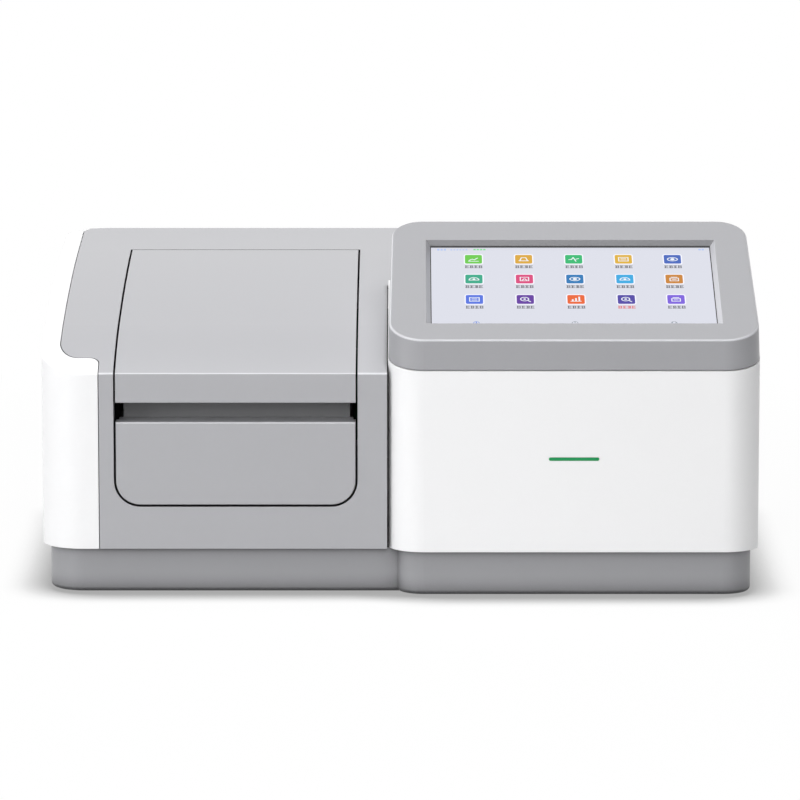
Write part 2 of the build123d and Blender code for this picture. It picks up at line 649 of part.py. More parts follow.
def fan_rotor():
    """Hub cup with seven raked blades on its shaft."""
    y0 = REAR_Y - WALL - 20 + 4.5
    hub = rod(FAN_X, y0, FAN_Z, 11.5, 13, (0, 1, 0))
    shaft = rod(FAN_X, y0 - 3.2, FAN_Z, 1.5, 4, (0, 1, 0))
    blades = []
    for k in range(7):
        root = Plane(origin=(0, 0, 10), x_dir=(cos(radians(42)), sin(radians(42)), 0), z_dir=(0, 0, 1))
        tip = Plane(origin=(0, 0, 25.8), x_dir=(cos(radians(28)), sin(radians(28)), 0), z_dir=(0, 0, 1))
        blade = loft([root * Rectangle(13, 1.2), tip * Rectangle(19, 1.0)])
        blade = blade.translate((0, y0 + 6.5, 0)).rotate(Axis.Y, 360 / 7 * k)
        blades.append(blade.translate((FAN_X, 0, FAN_Z)))
    rotor = fused([hub, shaft] + blades)
    return rotor & block(0, 300, y0 - 4, y0 + 14.5, 0, 300)


def fan_guard():
    """Concentric ring grille with crossed bars and four ears."""
    shape = Circle(31) - Circle(28.5)
    for radius in (6, 11.5, 17, 22.5):
        shape = shape + (Circle(radius + 0.8) - Circle(radius - 0.8))
    shape = shape + Rectangle(70, 2.2, rotation=45) + Rectangle(70, 2.2, rotation=-45)
    for place in GridLocations(50, 50, 2, 2):
        shape = shape + place * Circle(4.5) - place * Circle(2)
    return prism_y(Pos(FAN_X, FAN_Z) * shape, REAR_Y, REAR_LIMIT_Y)


def compartment_lid():
    """Curved lid with side walls, a deep front lip and a finger return along the lip."""
    x0, x1 = OPENING_X0 + PANEL_GAP, OPENING_X1 - PANEL_GAP
    outer = block(x0, x1, LEFT_FRONT_Y, LID_REAR_Y, LIP_Z, 300) & under_deck()
    outer = fillet(edges_near(outer, LEFT_FRONT_Y, DECK_FRONT_Z), 1.2)
    inner = block(x0 + 2.5, x1 - 2.5, LEFT_FRONT_Y + WALL, LID_REAR_Y + 5, LIP_Z - 5, 300) & under_deck(WALL)
    shell = outer - inner
    shell = shell - (under_deck(10) & block(-300, 0, LEFT_FRONT_Y + 16, 200, 0, 300))
    grip = block(x0, x1, LEFT_FRONT_Y + 1, LEFT_FRONT_Y + 14, LIP_Z, LIP_Z + 2.5)
    lid = shell + grip
    return fillet(edges_near(lid, LEFT_FRONT_Y, LIP_Z), 1.0)


def ring_under_deck(x0, x1, y0, y1, width, drop_high, drop_low):
    """Frame that follows the deck line between two drops."""
    frame = block(x0, x1, y0, y1, 100, 300) - block(x0 + width, x1 - width, y0 + width, y1 - width, 90, 310)
    return (frame & under_deck(drop_high)) - under_deck(drop_low)


def lid_liner():
    """Light-tight frame bonded under the lid, which closes on the seal."""
    return ring_under_deck(TUB_X0 - 1.5, TUB_X1 + 1.5, TUB_Y0 - 2, TUB_Y1 - 3, 8, WALL, 6)


def lid_seal():
    """Foam seal on the rim of the tub."""
    return ring_under_deck(TUB_X0, TUB_X1, TUB_Y0, TUB_Y1, 3.5, 6.3, RIM_DROP)


HINGE_STATIONS = (-190.0, -65.0)


def lid_hinge_leaves():
    """Two leaves under the lid, each with a knuckle round the hinge pin."""
    leaves = []
    for x in HINGE_STATIONS:
        plate = block(x - 8, x + 8, TUB_Y1 - 2, HINGE_Y + 2, 215, 260) & under_deck(WALL)
        plate = plate - under_deck(WALL + 2.5)
        web = block(x - 4, x + 4, HINGE_Y - KNUCKLE_R, HINGE_Y + KNUCKLE_R, HINGE_Z, 240) & under_deck(WALL)
        knuckle = rod(x - 4, HINGE_Y, HINGE_Z, KNUCKLE_R, 8, (1, 0, 0))
        leaf = plate + web + knuckle
        leaves.append(leaf - rod(x - 10, HINGE_Y, HINGE_Z, HINGE_PIN_R + RUNNING_FIT, 20, (1, 0, 0)))
    return leaves


def hinge_brackets():
    """Pairs of ears on plates screwed to the back of the tub."""
    brackets = []
    for x in HINGE_STATIONS:
        plate = block(x - 11, x + 11, TUB_Y1, TUB_Y1 + 2.5, 180, HINGE_Z - 2)
        ears = []
        for side in (-1, 1):
            a, b = sorted((x + side * 4.4, x + side * 7.4))
            ears.append(block(a, b, TUB_Y1, HINGE_Y, HINGE_Z - 10, HINGE_Z))
            ears.append(rod(a, HINGE_Y, HINGE_Z, KNUCKLE_R, b - a, (1, 0, 0)))
        bracket = fused([plate] + ears)
        brackets.append(bracket - rod(x - 12, HINGE_Y, HINGE_Z, HINGE_PIN_R, 24, (1, 0, 0)))
    return brackets


def hinge_pins():
    return [rod(x - 9, HINGE_Y, HINGE_Z, HINGE_PIN_R, 18, (1, 0, 0)) for x in HINGE_STATIONS]


def front_panel():
    """Pull-off panel under the finger slot, with a shelf, a return flange and two locating pegs."""
    x0, x1 = OPENING_X0 + PANEL_GAP, OPENING_X1 - PANEL_GAP
    centre_x = (x0 + x1) / 2

    def outline(inset):
        height = SLOT_FLOOR_Z - PANEL_BOTTOM_Z - 2 * inset
        shape = Pos(centre_x, (SLOT_FLOOR_Z + PANEL_BOTTOM_Z) / 2) * Rectangle(x1 - x0 - 2 * inset, height)
        return fillet(shape.vertices().group_by(Axis.Y)[0], PANEL_CORNER_R - inset)

    panel = prism_y(outline(0), LEFT_FRONT_Y, LEFT_FRONT_Y + 14)
    panel = fillet(panel.faces().sort_by(Axis.Y)[0].edges(), 1.0)
    panel = panel - prism_y(outline(2.2), LEFT_FRONT_Y + WALL, LEFT_FRONT_Y + 20)
    shelf = block(x0 + 2, x1 - 2, LEFT_FRONT_Y + 2, TUB_Y0 - 1, SLOT_FLOOR_Z - 2.2, SLOT_FLOOR_Z)
    pegs = [rod(x, LEFT_FRONT_Y + 2, PEG_Z, 3.0, 22, (0, 1, 0)) for x in PEGS]
    return fused([panel, shelf] + pegs)


PEGS = (-190.0, -65.0)
PEG_Z = 104.0


def panel_clips():
    """Sockets on the front of the tub that take the panel's pegs."""
    clips = []
    for x in PEGS:
        clip = block(x - 7, x + 7, TUB_Y0 - 9, TUB_Y0, PEG_Z - 7, PEG_Z + 7)
        clip = clip - rod(x, TUB_Y0 - 10, PEG_Z, 3.0 + RUNNING_FIT, 11, (0, 1, 0))
        clips.append(clip - block(x - 0.8, x + 0.8, TUB_Y0 - 10, TUB_Y0 - 3, PEG_Z, PEG_Z + 8))
    return clips


def compartment_tub():
    """Black sample well whose rim follows the deck, with beam ports and the motor's shaft hole."""
    outer = block(TUB_X0, TUB_X1, TUB_Y0, TUB_Y1, TUB_BOTTOM_Z, 300) & under_deck(RIM_DROP)
    inner = plan(TUB_X0 + TUB_WALL, TUB_X1 - TUB_WALL, TUB_Y0 + TUB_WALL, TUB_Y1 - TUB_WALL, 6, 6, 6, 6)
    tub = outer - prism_z(inner, TUB_BOTTOM_Z + WALL, 300)
    tub = tub - rod(TUB_X0 - 5, BEAM_Y, BEAM_Z, WINDOW_R, 12, (1, 0, 0))
    tub = tub - rod(TUB_X1 - 7, BEAM_Y, BEAM_Z, WINDOW_R, 12, (1, 0, 0))
    return tub - rod(PINION_X, BEAM_Y, 70, 4, 12)


def compartment_posts():
    """Pillars that carry the tub on the optical bench."""
    spots = [(x, y) for x in (TUB_X0 + 9, TUB_X1 - 9) for y in (TUB_Y0 + 12, TUB_Y1 - 12)]
    return [rod(x, y, BENCH_TOP_Z, 6, TUB_BOTTOM_Z - BENCH_TOP_Z) for x, y in spots]


def beam_windows():
    """Quartz discs in the tub walls."""
    return [rod(x, BEAM_Y, BEAM_Z, WINDOW_R, 2, (1, 0, 0)) for x in (TUB_X0 + 0.5, TUB_X1 - TUB_WALL)]


def window_rings():
    """Retaining rings on the inside of the windows."""
    rings = []
    for x in (TUB_X0 + TUB_WALL, TUB_X1 - TUB_WALL - 1.5):
        rings.append(rod(x, BEAM_Y, BEAM_Z, 12.5, 1.5, (1, 0, 0)) - rod(x - 1, BEAM_Y, BEAM_Z, 6, 4, (1, 0, 0)))
    return rings


FLOOR_Z = TUB_BOTTOM_Z + WALL
ROD_Y0 = -150.0
ROD_Y1 = 80.0
RACK_X = CARRIAGE_X + 22.0
RACK_ROOT_X = RACK_X + 3.0
PINION_R = GEAR_MODULE * PINION_TEETH / 2
PINION_X = RACK_ROOT_X + 1.25 * GEAR_MODULE + PINION_R + 0.1
FIRST_CELL_Y = BEAM_Y
CARRIAGE_Y0 = FIRST_CELL_Y - 12.0
CARRIAGE_Y1 = FIRST_CELL_Y + (CELLS - 1) * CELL_PITCH + 12.0


def guide_rods():
    return [rod(CARRIAGE_X + side * ROD_SPREAD, ROD_Y0, ROD_Z, ROD_R, ROD_Y1 - ROD_Y0, (0, 1, 0))
            for side in (-1, 1)]


def rod_blocks():
    """End blocks on the tub floor that hold the guide rods."""
    blocks = []
    for y in (ROD_Y0, ROD_Y1 - 8):
        end = block(CARRIAGE_X - 24, CARRIAGE_X + 24, y, y + 8, FLOOR_Z, ROD_Z + 7)
        end = fillet(end.edges().filter_by(Axis.Y).group_by(Axis.Z)[-1], 4)
        for side in (-1, 1):
            end = end - rod(CARRIAGE_X + side * ROD_SPREAD, y - 1, ROD_Z, ROD_R, 10, (0, 1, 0))
        blocks.append(end)
    return blocks


def cell_carriage():
    """Cell changer: a slotted base on two rods, with posts that hold each cell by its corners."""
    base = block(CARRIAGE_X - 22, CARRIAGE_X + 22, CARRIAGE_Y0, CARRIAGE_Y1, CARRIAGE_BASE_Z, POCKET_Z)
    web = CELL_PITCH - CELL_SIZE
    half = CELL_SIZE / 2 + 2.5
    parts = [base]
    for k in range(CELLS + 1):
        y = FIRST_CELL_Y + (k - 0.5) * CELL_PITCH
        parts.append(block(CARRIAGE_X - half, CARRIAGE_X + half, y - web / 2, y + web / 2, POCKET_Z, POST_TOP_Z))
        for side in (-1, 1):
            a, b = sorted((CARRIAGE_X + side * (half - 2.45), CARRIAGE_X + side * half))
            y0, y1 = max(y - web / 2 - 2.4, CARRIAGE_Y0), min(y + web / 2 + 2.4, CARRIAGE_Y1)
            parts.append(block(a, b, y0, y1, POCKET_Z, POST_TOP_Z))
    carriage = fused(parts)
    for side in (-1, 1):
        carriage = carriage - rod(CARRIAGE_X + side * ROD_SPREAD, CARRIAGE_Y0 - 1, ROD_Z, ROD_R + RUNNING_FIT,
                                  CARRIAGE_Y1 - CARRIAGE_Y0 + 2, (0, 1, 0))
    return carriage


def carriage_rack():
    """Rack along the carriage, with a tooth centred on the beam at rest."""
    pitch = pi * GEAR_MODULE
    body = block(RACK_X, RACK_ROOT_X, CARRIAGE_Y0, CARRIAGE_Y1, POCKET_Z - 11, POCKET_Z - 1)
    reach = 2.25 * GEAR_MODULE
    flank = tan(radians(20))
    half_root = pitch * 0.22 + 1.25 * GEAR_MODULE * flank
    half_tip = pitch * 0.22 - GEAR_MODULE * flank
    tooth = make_face(Polyline((-0.1, -half_root), (reach, -half_tip), (reach, half_tip), (-0.1, half_root),
                               (-0.1, -half_root)))
    teeth = []
    k = int((CARRIAGE_Y0 - FIRST_CELL_Y) / pitch)
    while FIRST_CELL_Y + k * pitch + half_root < CARRIAGE_Y1:
        y = FIRST_CELL_Y + k * pitch
        if y - half_root > CARRIAGE_Y0:
            teeth.append(prism_z(Pos(RACK_ROOT_X, y) * tooth, POCKET_Z - 11, POCKET_Z - 1))
        k += 1
    return fused([body] + teeth)


def drive_pinion():
    """Pinion with straight-flanked teeth on the motor shaft, a tooth gap towards the rack."""
    pitch_angle = 360 / PINION_TEETH
    root_r = PINION_R - 1.25 * GEAR_MODULE
    tip_r = PINION_R + GEAR_MODULE
    half_pitch_width = pi * GEAR_MODULE * 0.2
    root_half = half_pitch_width + 0.42
    tip_half = half_pitch_width - 0.34
    tooth = make_face(Polyline((root_r - 0.3, -root_half), (tip_r, -tip_half), (tip_r, tip_half),
                               (root_r - 0.3, root_half), (root_r - 0.3, -root_half)))
    gear = Circle(root_r)
    for k in range(PINION_TEETH):
        gear = gear + Rot(0, 0, (k + 0.5) * pitch_angle) * tooth
    wheel = Pos(PINION_X, BEAM_Y, 0) * prism_z(gear, POCKET_Z - 10, POCKET_Z - 2)
    shaft = rod(PINION_X, BEAM_Y, 62, 2.5, POCKET_Z - 9 - 62)
    return wheel + shaft + rod(PINION_X, BEAM_Y, FLOOR_Z + 0.5, 4.2, 5)


def stepper(x, y, top_z, size, height, shaft_r, bore):
    """Square motor body with a blind bore for its shaft."""
    body = prism_z(Pos(x, y) * RectangleRounded(size, size, 3), top_z - height, top_z)
    caps = block(x - size / 2 - 0.3, x + size / 2 + 0.3, y - size / 2 + 4, y + size / 2 - 4,
                 top_z - height + 4, top_z - 4)
    return body + caps - rod(x, y, top_z - bore, shaft_r + RUNNING_FIT, bore + 1)


def carriage_motor():
    return stepper(PINION_X, BEAM_Y, TUB_BOTTOM_Z, 28, 28, 2.5, 12.5)


def optical_bench():
    """Stiff plate under the compartment and the optics, with a rim and ribs below."""
    outline = plan(-262, 262, -165, 130, 14, 14, 14, 14)
    bench = prism_z(outline, BENCH_Z, BENCH_TOP_Z)
    pocket = plan(-254, 254, -157, 122, 8, 8, 8, 8)
    bench = bench - prism_z(pocket, BENCH_Z - 1, BENCH_TOP_Z - 5)
    ribs = [block(x - 3, x + 3, -160, 125, BENCH_Z, BENCH_TOP_Z - 4) for x in (-128, 18, 184)]
    pads = [rod(x, y, BENCH_Z, 12, 8) for x, y in BENCH_BOSSES]
    bench = fused([bench] + ribs + pads)
    for x, y in BENCH_BOSSES:
        bench = bench - rod(x, y, BENCH_Z - 1, SCREW_R, 9.5)
    return bench


def monochromator_housing():
    """Cast box on four legs, with light ports and the grating shaft hole."""
    outer = plan(MONO_X0, MONO_X1, MONO_Y0, MONO_Y1, 10, 10, 10, 10)
    inner = plan(MONO_X0 + 5, MONO_X1 - 5, MONO_Y0 + 5, MONO_Y1 - 5, 6, 6, 6, 6)
    box = prism_z(outer, MONO_Z0, MONO_Z1) - prism_z(inner, MONO_Z0 + 5, MONO_Z1 + 1)
    legs = [rod(x, y, BENCH_TOP_Z, 8, MONO_Z0 - BENCH_TOP_Z + 1)
            for x in (MONO_X0 + 10, MONO_X1 - 10) for y in (MONO_Y0 + 10, MONO_Y1 - 10)]
    box = fused([box] + legs)
    box = box - rod(MONO_X0 - 5, BEAM_Y, BEAM_Z, 6, 15, (1, 0, 0))
    box = box - rod(MONO_X1 - 8, SOURCE_Y, BEAM_Z, 6, 15, (1, 0, 0))
    return box - rod(GRATING_X, GRATING_Y, MONO_Z0 - 2, 4 + RUNNING_FIT, 10)


def monochromator_cover():
    """Lid plate with a lip that drops inside the walls."""
    outer = plan(MONO_X0, MONO_X1, MONO_Y0, MONO_Y1, 10, 10, 10, 10)
    lip = plan(MONO_X0 + 5.2, MONO_X1 - 5.2, MONO_Y0 + 5.2, MONO_Y1 - 5.2, 6, 6, 6, 6)
    hollow = plan(MONO_X0 + 8, MONO_X1 - 8, MONO_Y0 + 8, MONO_Y1 - 8, 3, 3, 3, 3)
    cover = prism_z(outer, MONO_Z1, MONO_Z1 + 3) + prism_z(lip, MONO_Z1 - 4, MONO_Z1 + 0.5)
    return cover - prism_z(hollow, MONO_Z1 - 5, MONO_Z1)


def slit_plates():
    """Entrance and exit slits, screwed outside the light ports."""
    plates = []
    for x, y in ((MONO_X0 - 2, BEAM_Y), (MONO_X1, SOURCE_Y)):
        plate = block(x, x + 2, y - 12, y + 12, BEAM_Z - 15, BEAM_Z + 15)
        plates.append(plate - block(x - 1, x + 3, y - 0.6, y + 0.6, BEAM_Z - 5, BEAM_Z + 5))
    return plates


def mirror_mount(x, y, angle, radius):
    """Round mirror blank on a post from the housing floor; it faces +X before it is turned."""
    blank = rod(-3, 0, 0, radius, 6, (1, 0, 0))
    back = block(-7, -2.5, -8, 8, -10, 10)
    post = block(-9, -3, -7, 7, MONO_Z0 + 5 - BEAM_Z, 8)
    return (blank + back + post).rotate(Axis.Z, angle).translate((x, y, BEAM_Z))


def monochromator_mirrors():
    """Collimating, focusing and folding mirrors."""
    return [mirror_mount(44, SOURCE_Y, 10, 19), mirror_mount(44, 22, -16, 19), mirror_mount(158, 2, 168, 12)]


def grating_turntable():
    """Table on the motor shaft, with a clamp for the grating."""
    shaft = rod(GRATING_X, GRATING_Y, 42, 2.5, 19) + rod(GRATING_X, GRATING_Y, 60.5, 4, 10)
    table = rod(GRATING_X, GRATING_Y, 70, 20, 5)
    back = block(GRATING_X + 4.1, GRATING_X + 9, GRATING_Y - 16, GRATING_Y + 16, 74, 118)
    return shaft + table + back


def diffraction_grating():
    return block(GRATING_X - 3.9, GRATING_X + 4.1, GRATING_Y - 15, GRATING_Y + 15, 92, 122)


def grating_motor():
    return stepper(GRATING_X, GRATING_Y, MONO_Z0, 30, 34, 2.5, 19)


WHEEL_X = MONO_X1 + 8.0
LAMP_X0 = 205.0


def filter_wheel():
    """Disc with six order-sorting filter seats, on a stub shaft."""
    disc = rod(WHEEL_X, WHEEL_Y, BEAM_Z, 24, 3, (1, 0, 0))
    disc = disc + rod(WHEEL_X + 2.5, WHEEL_Y, BEAM_Z, 5, 3, (1, 0, 0))
    disc = disc + rod(WHEEL_X + 5, WHEEL_Y, BEAM_Z, 1.5, 7, (1, 0, 0))
    for k in range(6):
        angle = radians(60 * k)
        y, z = WHEEL_Y - 16 * cos(angle), BEAM_Z + 16 * sin(angle)
        disc = disc - rod(WHEEL_X - 1, y, z, 5.5, 5, (1, 0, 0))
    return disc


def filter_motor():
    """Round motor flanged to the lamp housing."""
    motor = rod(WHEEL_X + 7, WHEEL_Y, BEAM_Z, 9.5, LAMP_X0 - WHEEL_X - 7, (1, 0, 0))
    flange = block(LAMP_X0 - 2, LAMP_X0, WHEEL_Y - 8, WHEEL_Y + 14, BEAM_Z - 14, BEAM_Z + 14)
    return motor + flange - rod(WHEEL_X + 6, WHEEL_Y, BEAM_Z, 1.5 + RUNNING_FIT, 7, (1, 0, 0))


def lamp_housing():
    """Folded sheet box round both lamps, open at the top, with louvres towards the fan."""
    x1, y0, y1, z1 = 262.0, -160.0, 18.0, 150.0
    box = block(LAMP_X0, x1, y0, y1, BENCH_TOP_Z, z1)
    box = box - block(LAMP_X0 + 2, x1 - 2, y0 + 2, y1 - 2, BENCH_TOP_Z + 2, z1 + 1)
    box = box - rod(LAMP_X0 - 2, SOURCE_Y, BEAM_Z, 6, 6, (1, 0, 0))
    for row in range(8):
        box = box - block(LAMP_X0 + 10, x1 - 10, y1 - 3, y1 + 1, 50 + 11 * row, 54 + 11 * row)
    return box


def deuterium_lamp():
    """Arc lamp: a glass bulb with a domed top, on its base and pillar."""
    y = -26.0
    low = rod(SOURCE_X, y, BENCH_TOP_Z + 2, 16, 48)
    bulb = rod(SOURCE_X, y, 75.5, 14, 46) + Pos(SOURCE_X, y, 121.5) * Sphere(14)
    return low + bulb


def tungsten_lamp():
    """Halogen capsule on its ceramic base."""
    y = -140.0
    low = rod(SOURCE_X, y, BENCH_TOP_Z + 2, 10, 62)
    bulb = rod(SOURCE_X, y, 89.5, 6, 22) + Pos(SOURCE_X, y, 111.5) * Sphere(6)
    return low + bulb


def source_mirror():
    """Flip mirror between the lamps, on the motor shaft."""
    mirror = block(-2, 2, -12, 12, 90, 122)
    clamp = block(-5, -1.9, -6, 6, 84, 118)
    shaft = rod(0, 0, 44, 2.5, 42)
    turned = (mirror + clamp + shaft + rod(0, 0, 82, 5.5, 8.5)).rotate(Axis.Z, 135)
    return turned.translate((SOURCE_X, SOURCE_Y, 0))


def source_mirror_motor():
    return stepper(SOURCE_X, SOURCE_Y, 62, 28, 62 - BENCH_TOP_Z - 2, 2.5, 20)


def detector_block():
    """Photodiode mount on the far side of the compartment."""
    body = block(-256, -224, BEAM_Y - 24, BEAM_Y + 24, BENCH_TOP_Z, 132)
    body = body + rod(-225, BEAM_Y, BEAM_Z, 13, TUB_X0 + 225, (1, 0, 0))
    body = body - rod(-240, BEAM_Y, BEAM_Z, 7, 40, (1, 0, 0))
    return body + rod(-241, BEAM_Y, BEAM_Z, 6, 5, (1, 0, 0))


def preamp_board():
    """Small amplifier board on the side of the detector block."""
    y = BEAM_Y + 24
    board = block(-258, -222, y, y + 1.6, 60, 128)
    for z, high in ((70, 4), (92, 2.4), (112, 3)):
        board = board + block(-250, -232, y + 1.5, y + 1.5 + high, z, z + 10)
    return board


def build():
    """Every sub-part by name."""
    body = left_body()
    return {
        "base_tray": base_tray(),
        "rubber_feet": rubber_feet(),
        "left_side_shell": left_side_shell(body),
        "compartment_fascia": compartment_fascia(body),
        "right_housing": right_housing(),
        "display_bezel": display_bezel(),
        "touch_glass": touch_glass(),
        "display_module": display_module(),
        "display_ribbon": display_ribbon(),
        "status_light_bar": status_light_bar(),
        "rear_panel": rear_panel(),
        "rear_screws": rear_screws(),
        "bench_screws": bench_screws(),
        "compartment_lid": compartment_lid(),
        "lid_liner": lid_liner(),
        "lid_seal": lid_seal(),
        "lid_hinge_leaves": lid_hinge_leaves(),
        "hinge_brackets": hinge_brackets(),
        "hinge_pins": hinge_pins(),
        "front_panel": front_panel(),
        "panel_clips": panel_clips(),
        "compartment_tub": compartment_tub(),
        "compartment_posts": compartment_posts(),
        "beam_windows": beam_windows(),
        "window_rings": window_rings(),
        "guide_rods": guide_rods(),
        "rod_blocks": rod_blocks(),
        "cell_carriage": cell_carriage(),
        "carriage_rack": carriage_rack(),
        "drive_pinion": drive_pinion(),
        "carriage_motor": carriage_motor(),
        "optical_bench": optical_bench(),
        "monochromator_housing": monochromator_housing(),
        "monochromator_cover": monochromator_cover(),
        "slit_plates": slit_plates(),
        "monochromator_mirrors": monochromator_mirrors(),
        "grating_turntable": grating_turntable(),
        "diffraction_grating": diffraction_grating(),
        "grating_motor": grating_motor(),
        "filter_wheel": filter_wheel(),
        "filter_motor": filter_motor(),
        "lamp_housing": lamp_housing(),
        "deuterium_lamp": deuterium_lamp(),
        "tungsten_lamp": tungsten_lamp(),
        "source_mirror": source_mirror(),
        "source_mirror_motor": source_mirror_motor(),
        "detector_block": detector_block(),
        "preamp_board": preamp_board(),
        "main_board": main_board(),
        "board_standoffs": board_standoffs(),
        "power_supply": power_supply(),
        "fan_frame": fan_frame(),
        "fan_rotor": fan_rotor(),
        "fan_guard": fan_guard(),
        "power_inlet": power_inlet(),
        "rocker_frame": rocker_frame(),
        "power_rocker": power_rocker(),
        "io_ports": io_ports(),
    }


os.makedirs("parts", exist_ok=True)
for name, shape in build().items():
    if isinstance(shape, list):
        shape = Compound(children=[solid for piece in shape for solid in piece.solids()])
    export_step(shape, "parts/" + name + ".step")
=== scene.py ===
from math import cos, pi, radians, sin, tan

import bmesh
import bpy
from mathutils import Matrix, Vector


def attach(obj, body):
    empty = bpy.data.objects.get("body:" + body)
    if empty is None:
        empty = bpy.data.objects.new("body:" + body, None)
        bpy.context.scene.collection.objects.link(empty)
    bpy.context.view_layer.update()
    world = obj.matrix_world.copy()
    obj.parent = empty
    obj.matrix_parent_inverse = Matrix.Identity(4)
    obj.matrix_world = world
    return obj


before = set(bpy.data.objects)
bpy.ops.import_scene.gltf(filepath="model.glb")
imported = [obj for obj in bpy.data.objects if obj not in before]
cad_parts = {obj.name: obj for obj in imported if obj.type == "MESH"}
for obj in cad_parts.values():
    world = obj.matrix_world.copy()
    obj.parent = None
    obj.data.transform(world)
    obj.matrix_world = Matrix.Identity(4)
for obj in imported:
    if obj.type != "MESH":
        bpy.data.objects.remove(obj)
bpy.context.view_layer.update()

MM = 0.001

# Plane of the pod's upper face, as the CAD has it, and the screen on it in millimetres
POD_FRONT = Vector((0.0, -200.0, 203.5)) * MM
POD_SLOPE = radians(20.5)
UP_SLOPE = Vector((0, cos(POD_SLOPE), sin(POD_SLOPE)))
OFF_SLOPE = Vector((0, -sin(POD_SLOPE), cos(POD_SLOPE)))
GLASS_DEPTH = 5.0                   # top of the glass below that plane
SCREEN_X = (24.4, 247.0)            # left and right end
SCREEN_S = (31.1, 160.1)            # lower and upper end, up the slope from the pod's front edge
SCREEN_WIDTH = SCREEN_X[1] - SCREEN_X[0]
SCREEN_HEIGHT = SCREEN_S[1] - SCREEN_S[0]
MID_X = (SCREEN_X[0] + SCREEN_X[1]) / 2
MID_S = (SCREEN_S[0] + SCREEN_S[1]) / 2

BLACK_TONE = (0, 0, 0, 1)
WHITE_TONE = (1, 1, 1, 1)


def srgb(level):
    """Linear value of an sRGB level given as 0 to 255."""
    c = level / 255.0
    return c / 12.92 if c <= 0.04045 else ((c + 0.055) / 1.055) ** 2.4


def shade(r, g=None, b=None):
    """Linear colour of sRGB levels, grey where only one is given."""
    g = r if g is None else g
    b = r if b is None else b
    return (srgb(r), srgb(g), srgb(b), 1.0)


def scaled(color, factor):
    return tuple(min(1.0, c * factor) for c in color[:3]) + (1.0,)


class Graph:
    """Short calls for building the node tree of a material or a world."""

    def __init__(self, owner, output):
        owner.use_nodes = True
        self.owner = owner
        self.nodes = owner.node_tree.nodes
        self.links = owner.node_tree.links
        self.nodes.clear()
        self.out = self.add(output)

    def fill(self, socket, value):
        """Link the value where it is a socket, and otherwise set it."""
        if isinstance(value, bpy.types.NodeSocket):
            self.links.new(value, socket)
        else:
            socket.default_value = value

    def add(self, kind, **inputs):
        node = self.nodes.new("ShaderNode" + kind)
        for key, value in inputs.items():
            self.fill(node.inputs[key.replace("_", " ")], value)
        return node

    def math(self, kind, a, b):
        node = self.add("Math")
        node.operation = kind
        self.fill(node.inputs[0], a)
        self.fill(node.inputs[1], b)
        return node.outputs["Value"]

    def vector(self, kind, a, b=None):
        node = self.add("VectorMath")
        node.operation = kind
        self.fill(node.inputs[0], a)
        if b is not None:
            self.fill(node.inputs[1], b)
        return node.outputs["Value" if kind == "LENGTH" else "Vector"]

    def ramp(self, value, start, end, low=0.0, high=1.0):
        """Value that runs from low at start to high at end and stays within the two."""
        node = self.add("MapRange", Value=value, From_Min=start, From_Max=end, To_Min=low, To_Max=high)
        return node.outputs["Result"]

    def blend(self, factor, a, b):
        """Colour a where factor is 0 and b where it is 1."""
        node = self.add("Mix")
        node.data_type = "RGBA"
        self.fill(node.inputs[0], factor)
        self.fill(node.inputs[6], a)
        self.fill(node.inputs[7], b)
        return node.outputs[2]

    def either(self, factor, a, b):
        """Shader a where factor is 0 and b where it is 1."""
        node = self.add("MixShader", Fac=factor)
        self.links.new(a.outputs[0], node.inputs[1])
        self.links.new(b.outputs[0], node.inputs[2])
        return node

    def openness(self, reach, samples):
        """Share of the sky that a point sees within its reach."""
        node = self.add("AmbientOcclusion", Distance=reach)
        node.samples = samples
        return node.outputs["AO"]

    def relief(self, base, height, strength, depth, edge=0.0, samples=1):
        """Give the shader a fine relief and, where edge is above 0, rounded edges of that radius."""
        bump = self.add("Bump", Height=height, Strength=strength, Distance=depth)
        if edge > 0:
            bevel = self.add("Bevel", Radius=edge)
            bevel.samples = samples
            self.links.new(bevel.outputs["Normal"], bump.inputs["Normal"])
        self.links.new(bump.outputs["Normal"], base.inputs["Normal"])

    def finish(self, shader):
        self.links.new(shader.outputs[0], self.out.inputs["Surface"])
        return self.owner


def material_graph(name):
    return Graph(bpy.data.materials.new(name), "OutputMaterial")


# Components of a normal between which a mask of painted highlight or painted shade goes from 0 to 1
EDGE_RISING = (0.12, 0.35)          # Z, on the way from an upright face to a rounded edge
EDGE_LEVELLING = (0.9, 0.75)        # Z, on the way from a level face to a rounded edge
SLOPE_LIT = (-0.35, -0.6)           # X of the recess's slope that gets a painted highlight
SLOPE_SHADE = (-0.6, -0.8)           # Y of its slope that gets painted shade
LIT_SHARE = 0.7                     # of the painted highlight of an edge
SHADE_SHARE = 0.45                   # of the colour, taken away as painted shade

CREVICE_OPENNESS = (0.45, 0.95)     # shares of the sky between which the painted shade in corners ends


def edge_highlight_mask(g, normal):
    """Mask of painted highlight on rounded edges between upright and level faces, by the lean of their
    normals.
    """
    rising = g.ramp(normal["Z"], *EDGE_RISING)
    levelling = g.ramp(normal["Z"], *EDGE_LEVELLING)
    return g.math("MULTIPLY", rising, levelling)


def recess_painted_light(g, place, normal, painted_highlight, box):
    """Painted edge highlight with the box left out, a painted highlight on its slope that faces -X, and a
    mask of painted shade on its upper slope.
    """
    centre, half = box
    away = g.vector("ABSOLUTE", g.vector("SUBTRACT", place, centre))
    share = g.add("SeparateXYZ", Vector=g.vector("DIVIDE", away, half)).outputs
    farthest = g.math("MAXIMUM", share["X"], share["Y"])
    outside = g.math("GREATER_THAN", farthest, 1.0)
    within = g.math("LESS_THAN", farthest, 1.0)
    lit = g.ramp(normal["X"], *SLOPE_LIT, high=LIT_SHARE)
    slope_shade = g.ramp(normal["Y"], *SLOPE_SHADE, high=SHADE_SHARE)
    painted_highlight = g.math("MAXIMUM", g.math("MULTIPLY", painted_highlight, outside), g.math("MULTIPLY", lit, within))
    return painted_highlight, g.math("MULTIPLY", slope_shade, within)


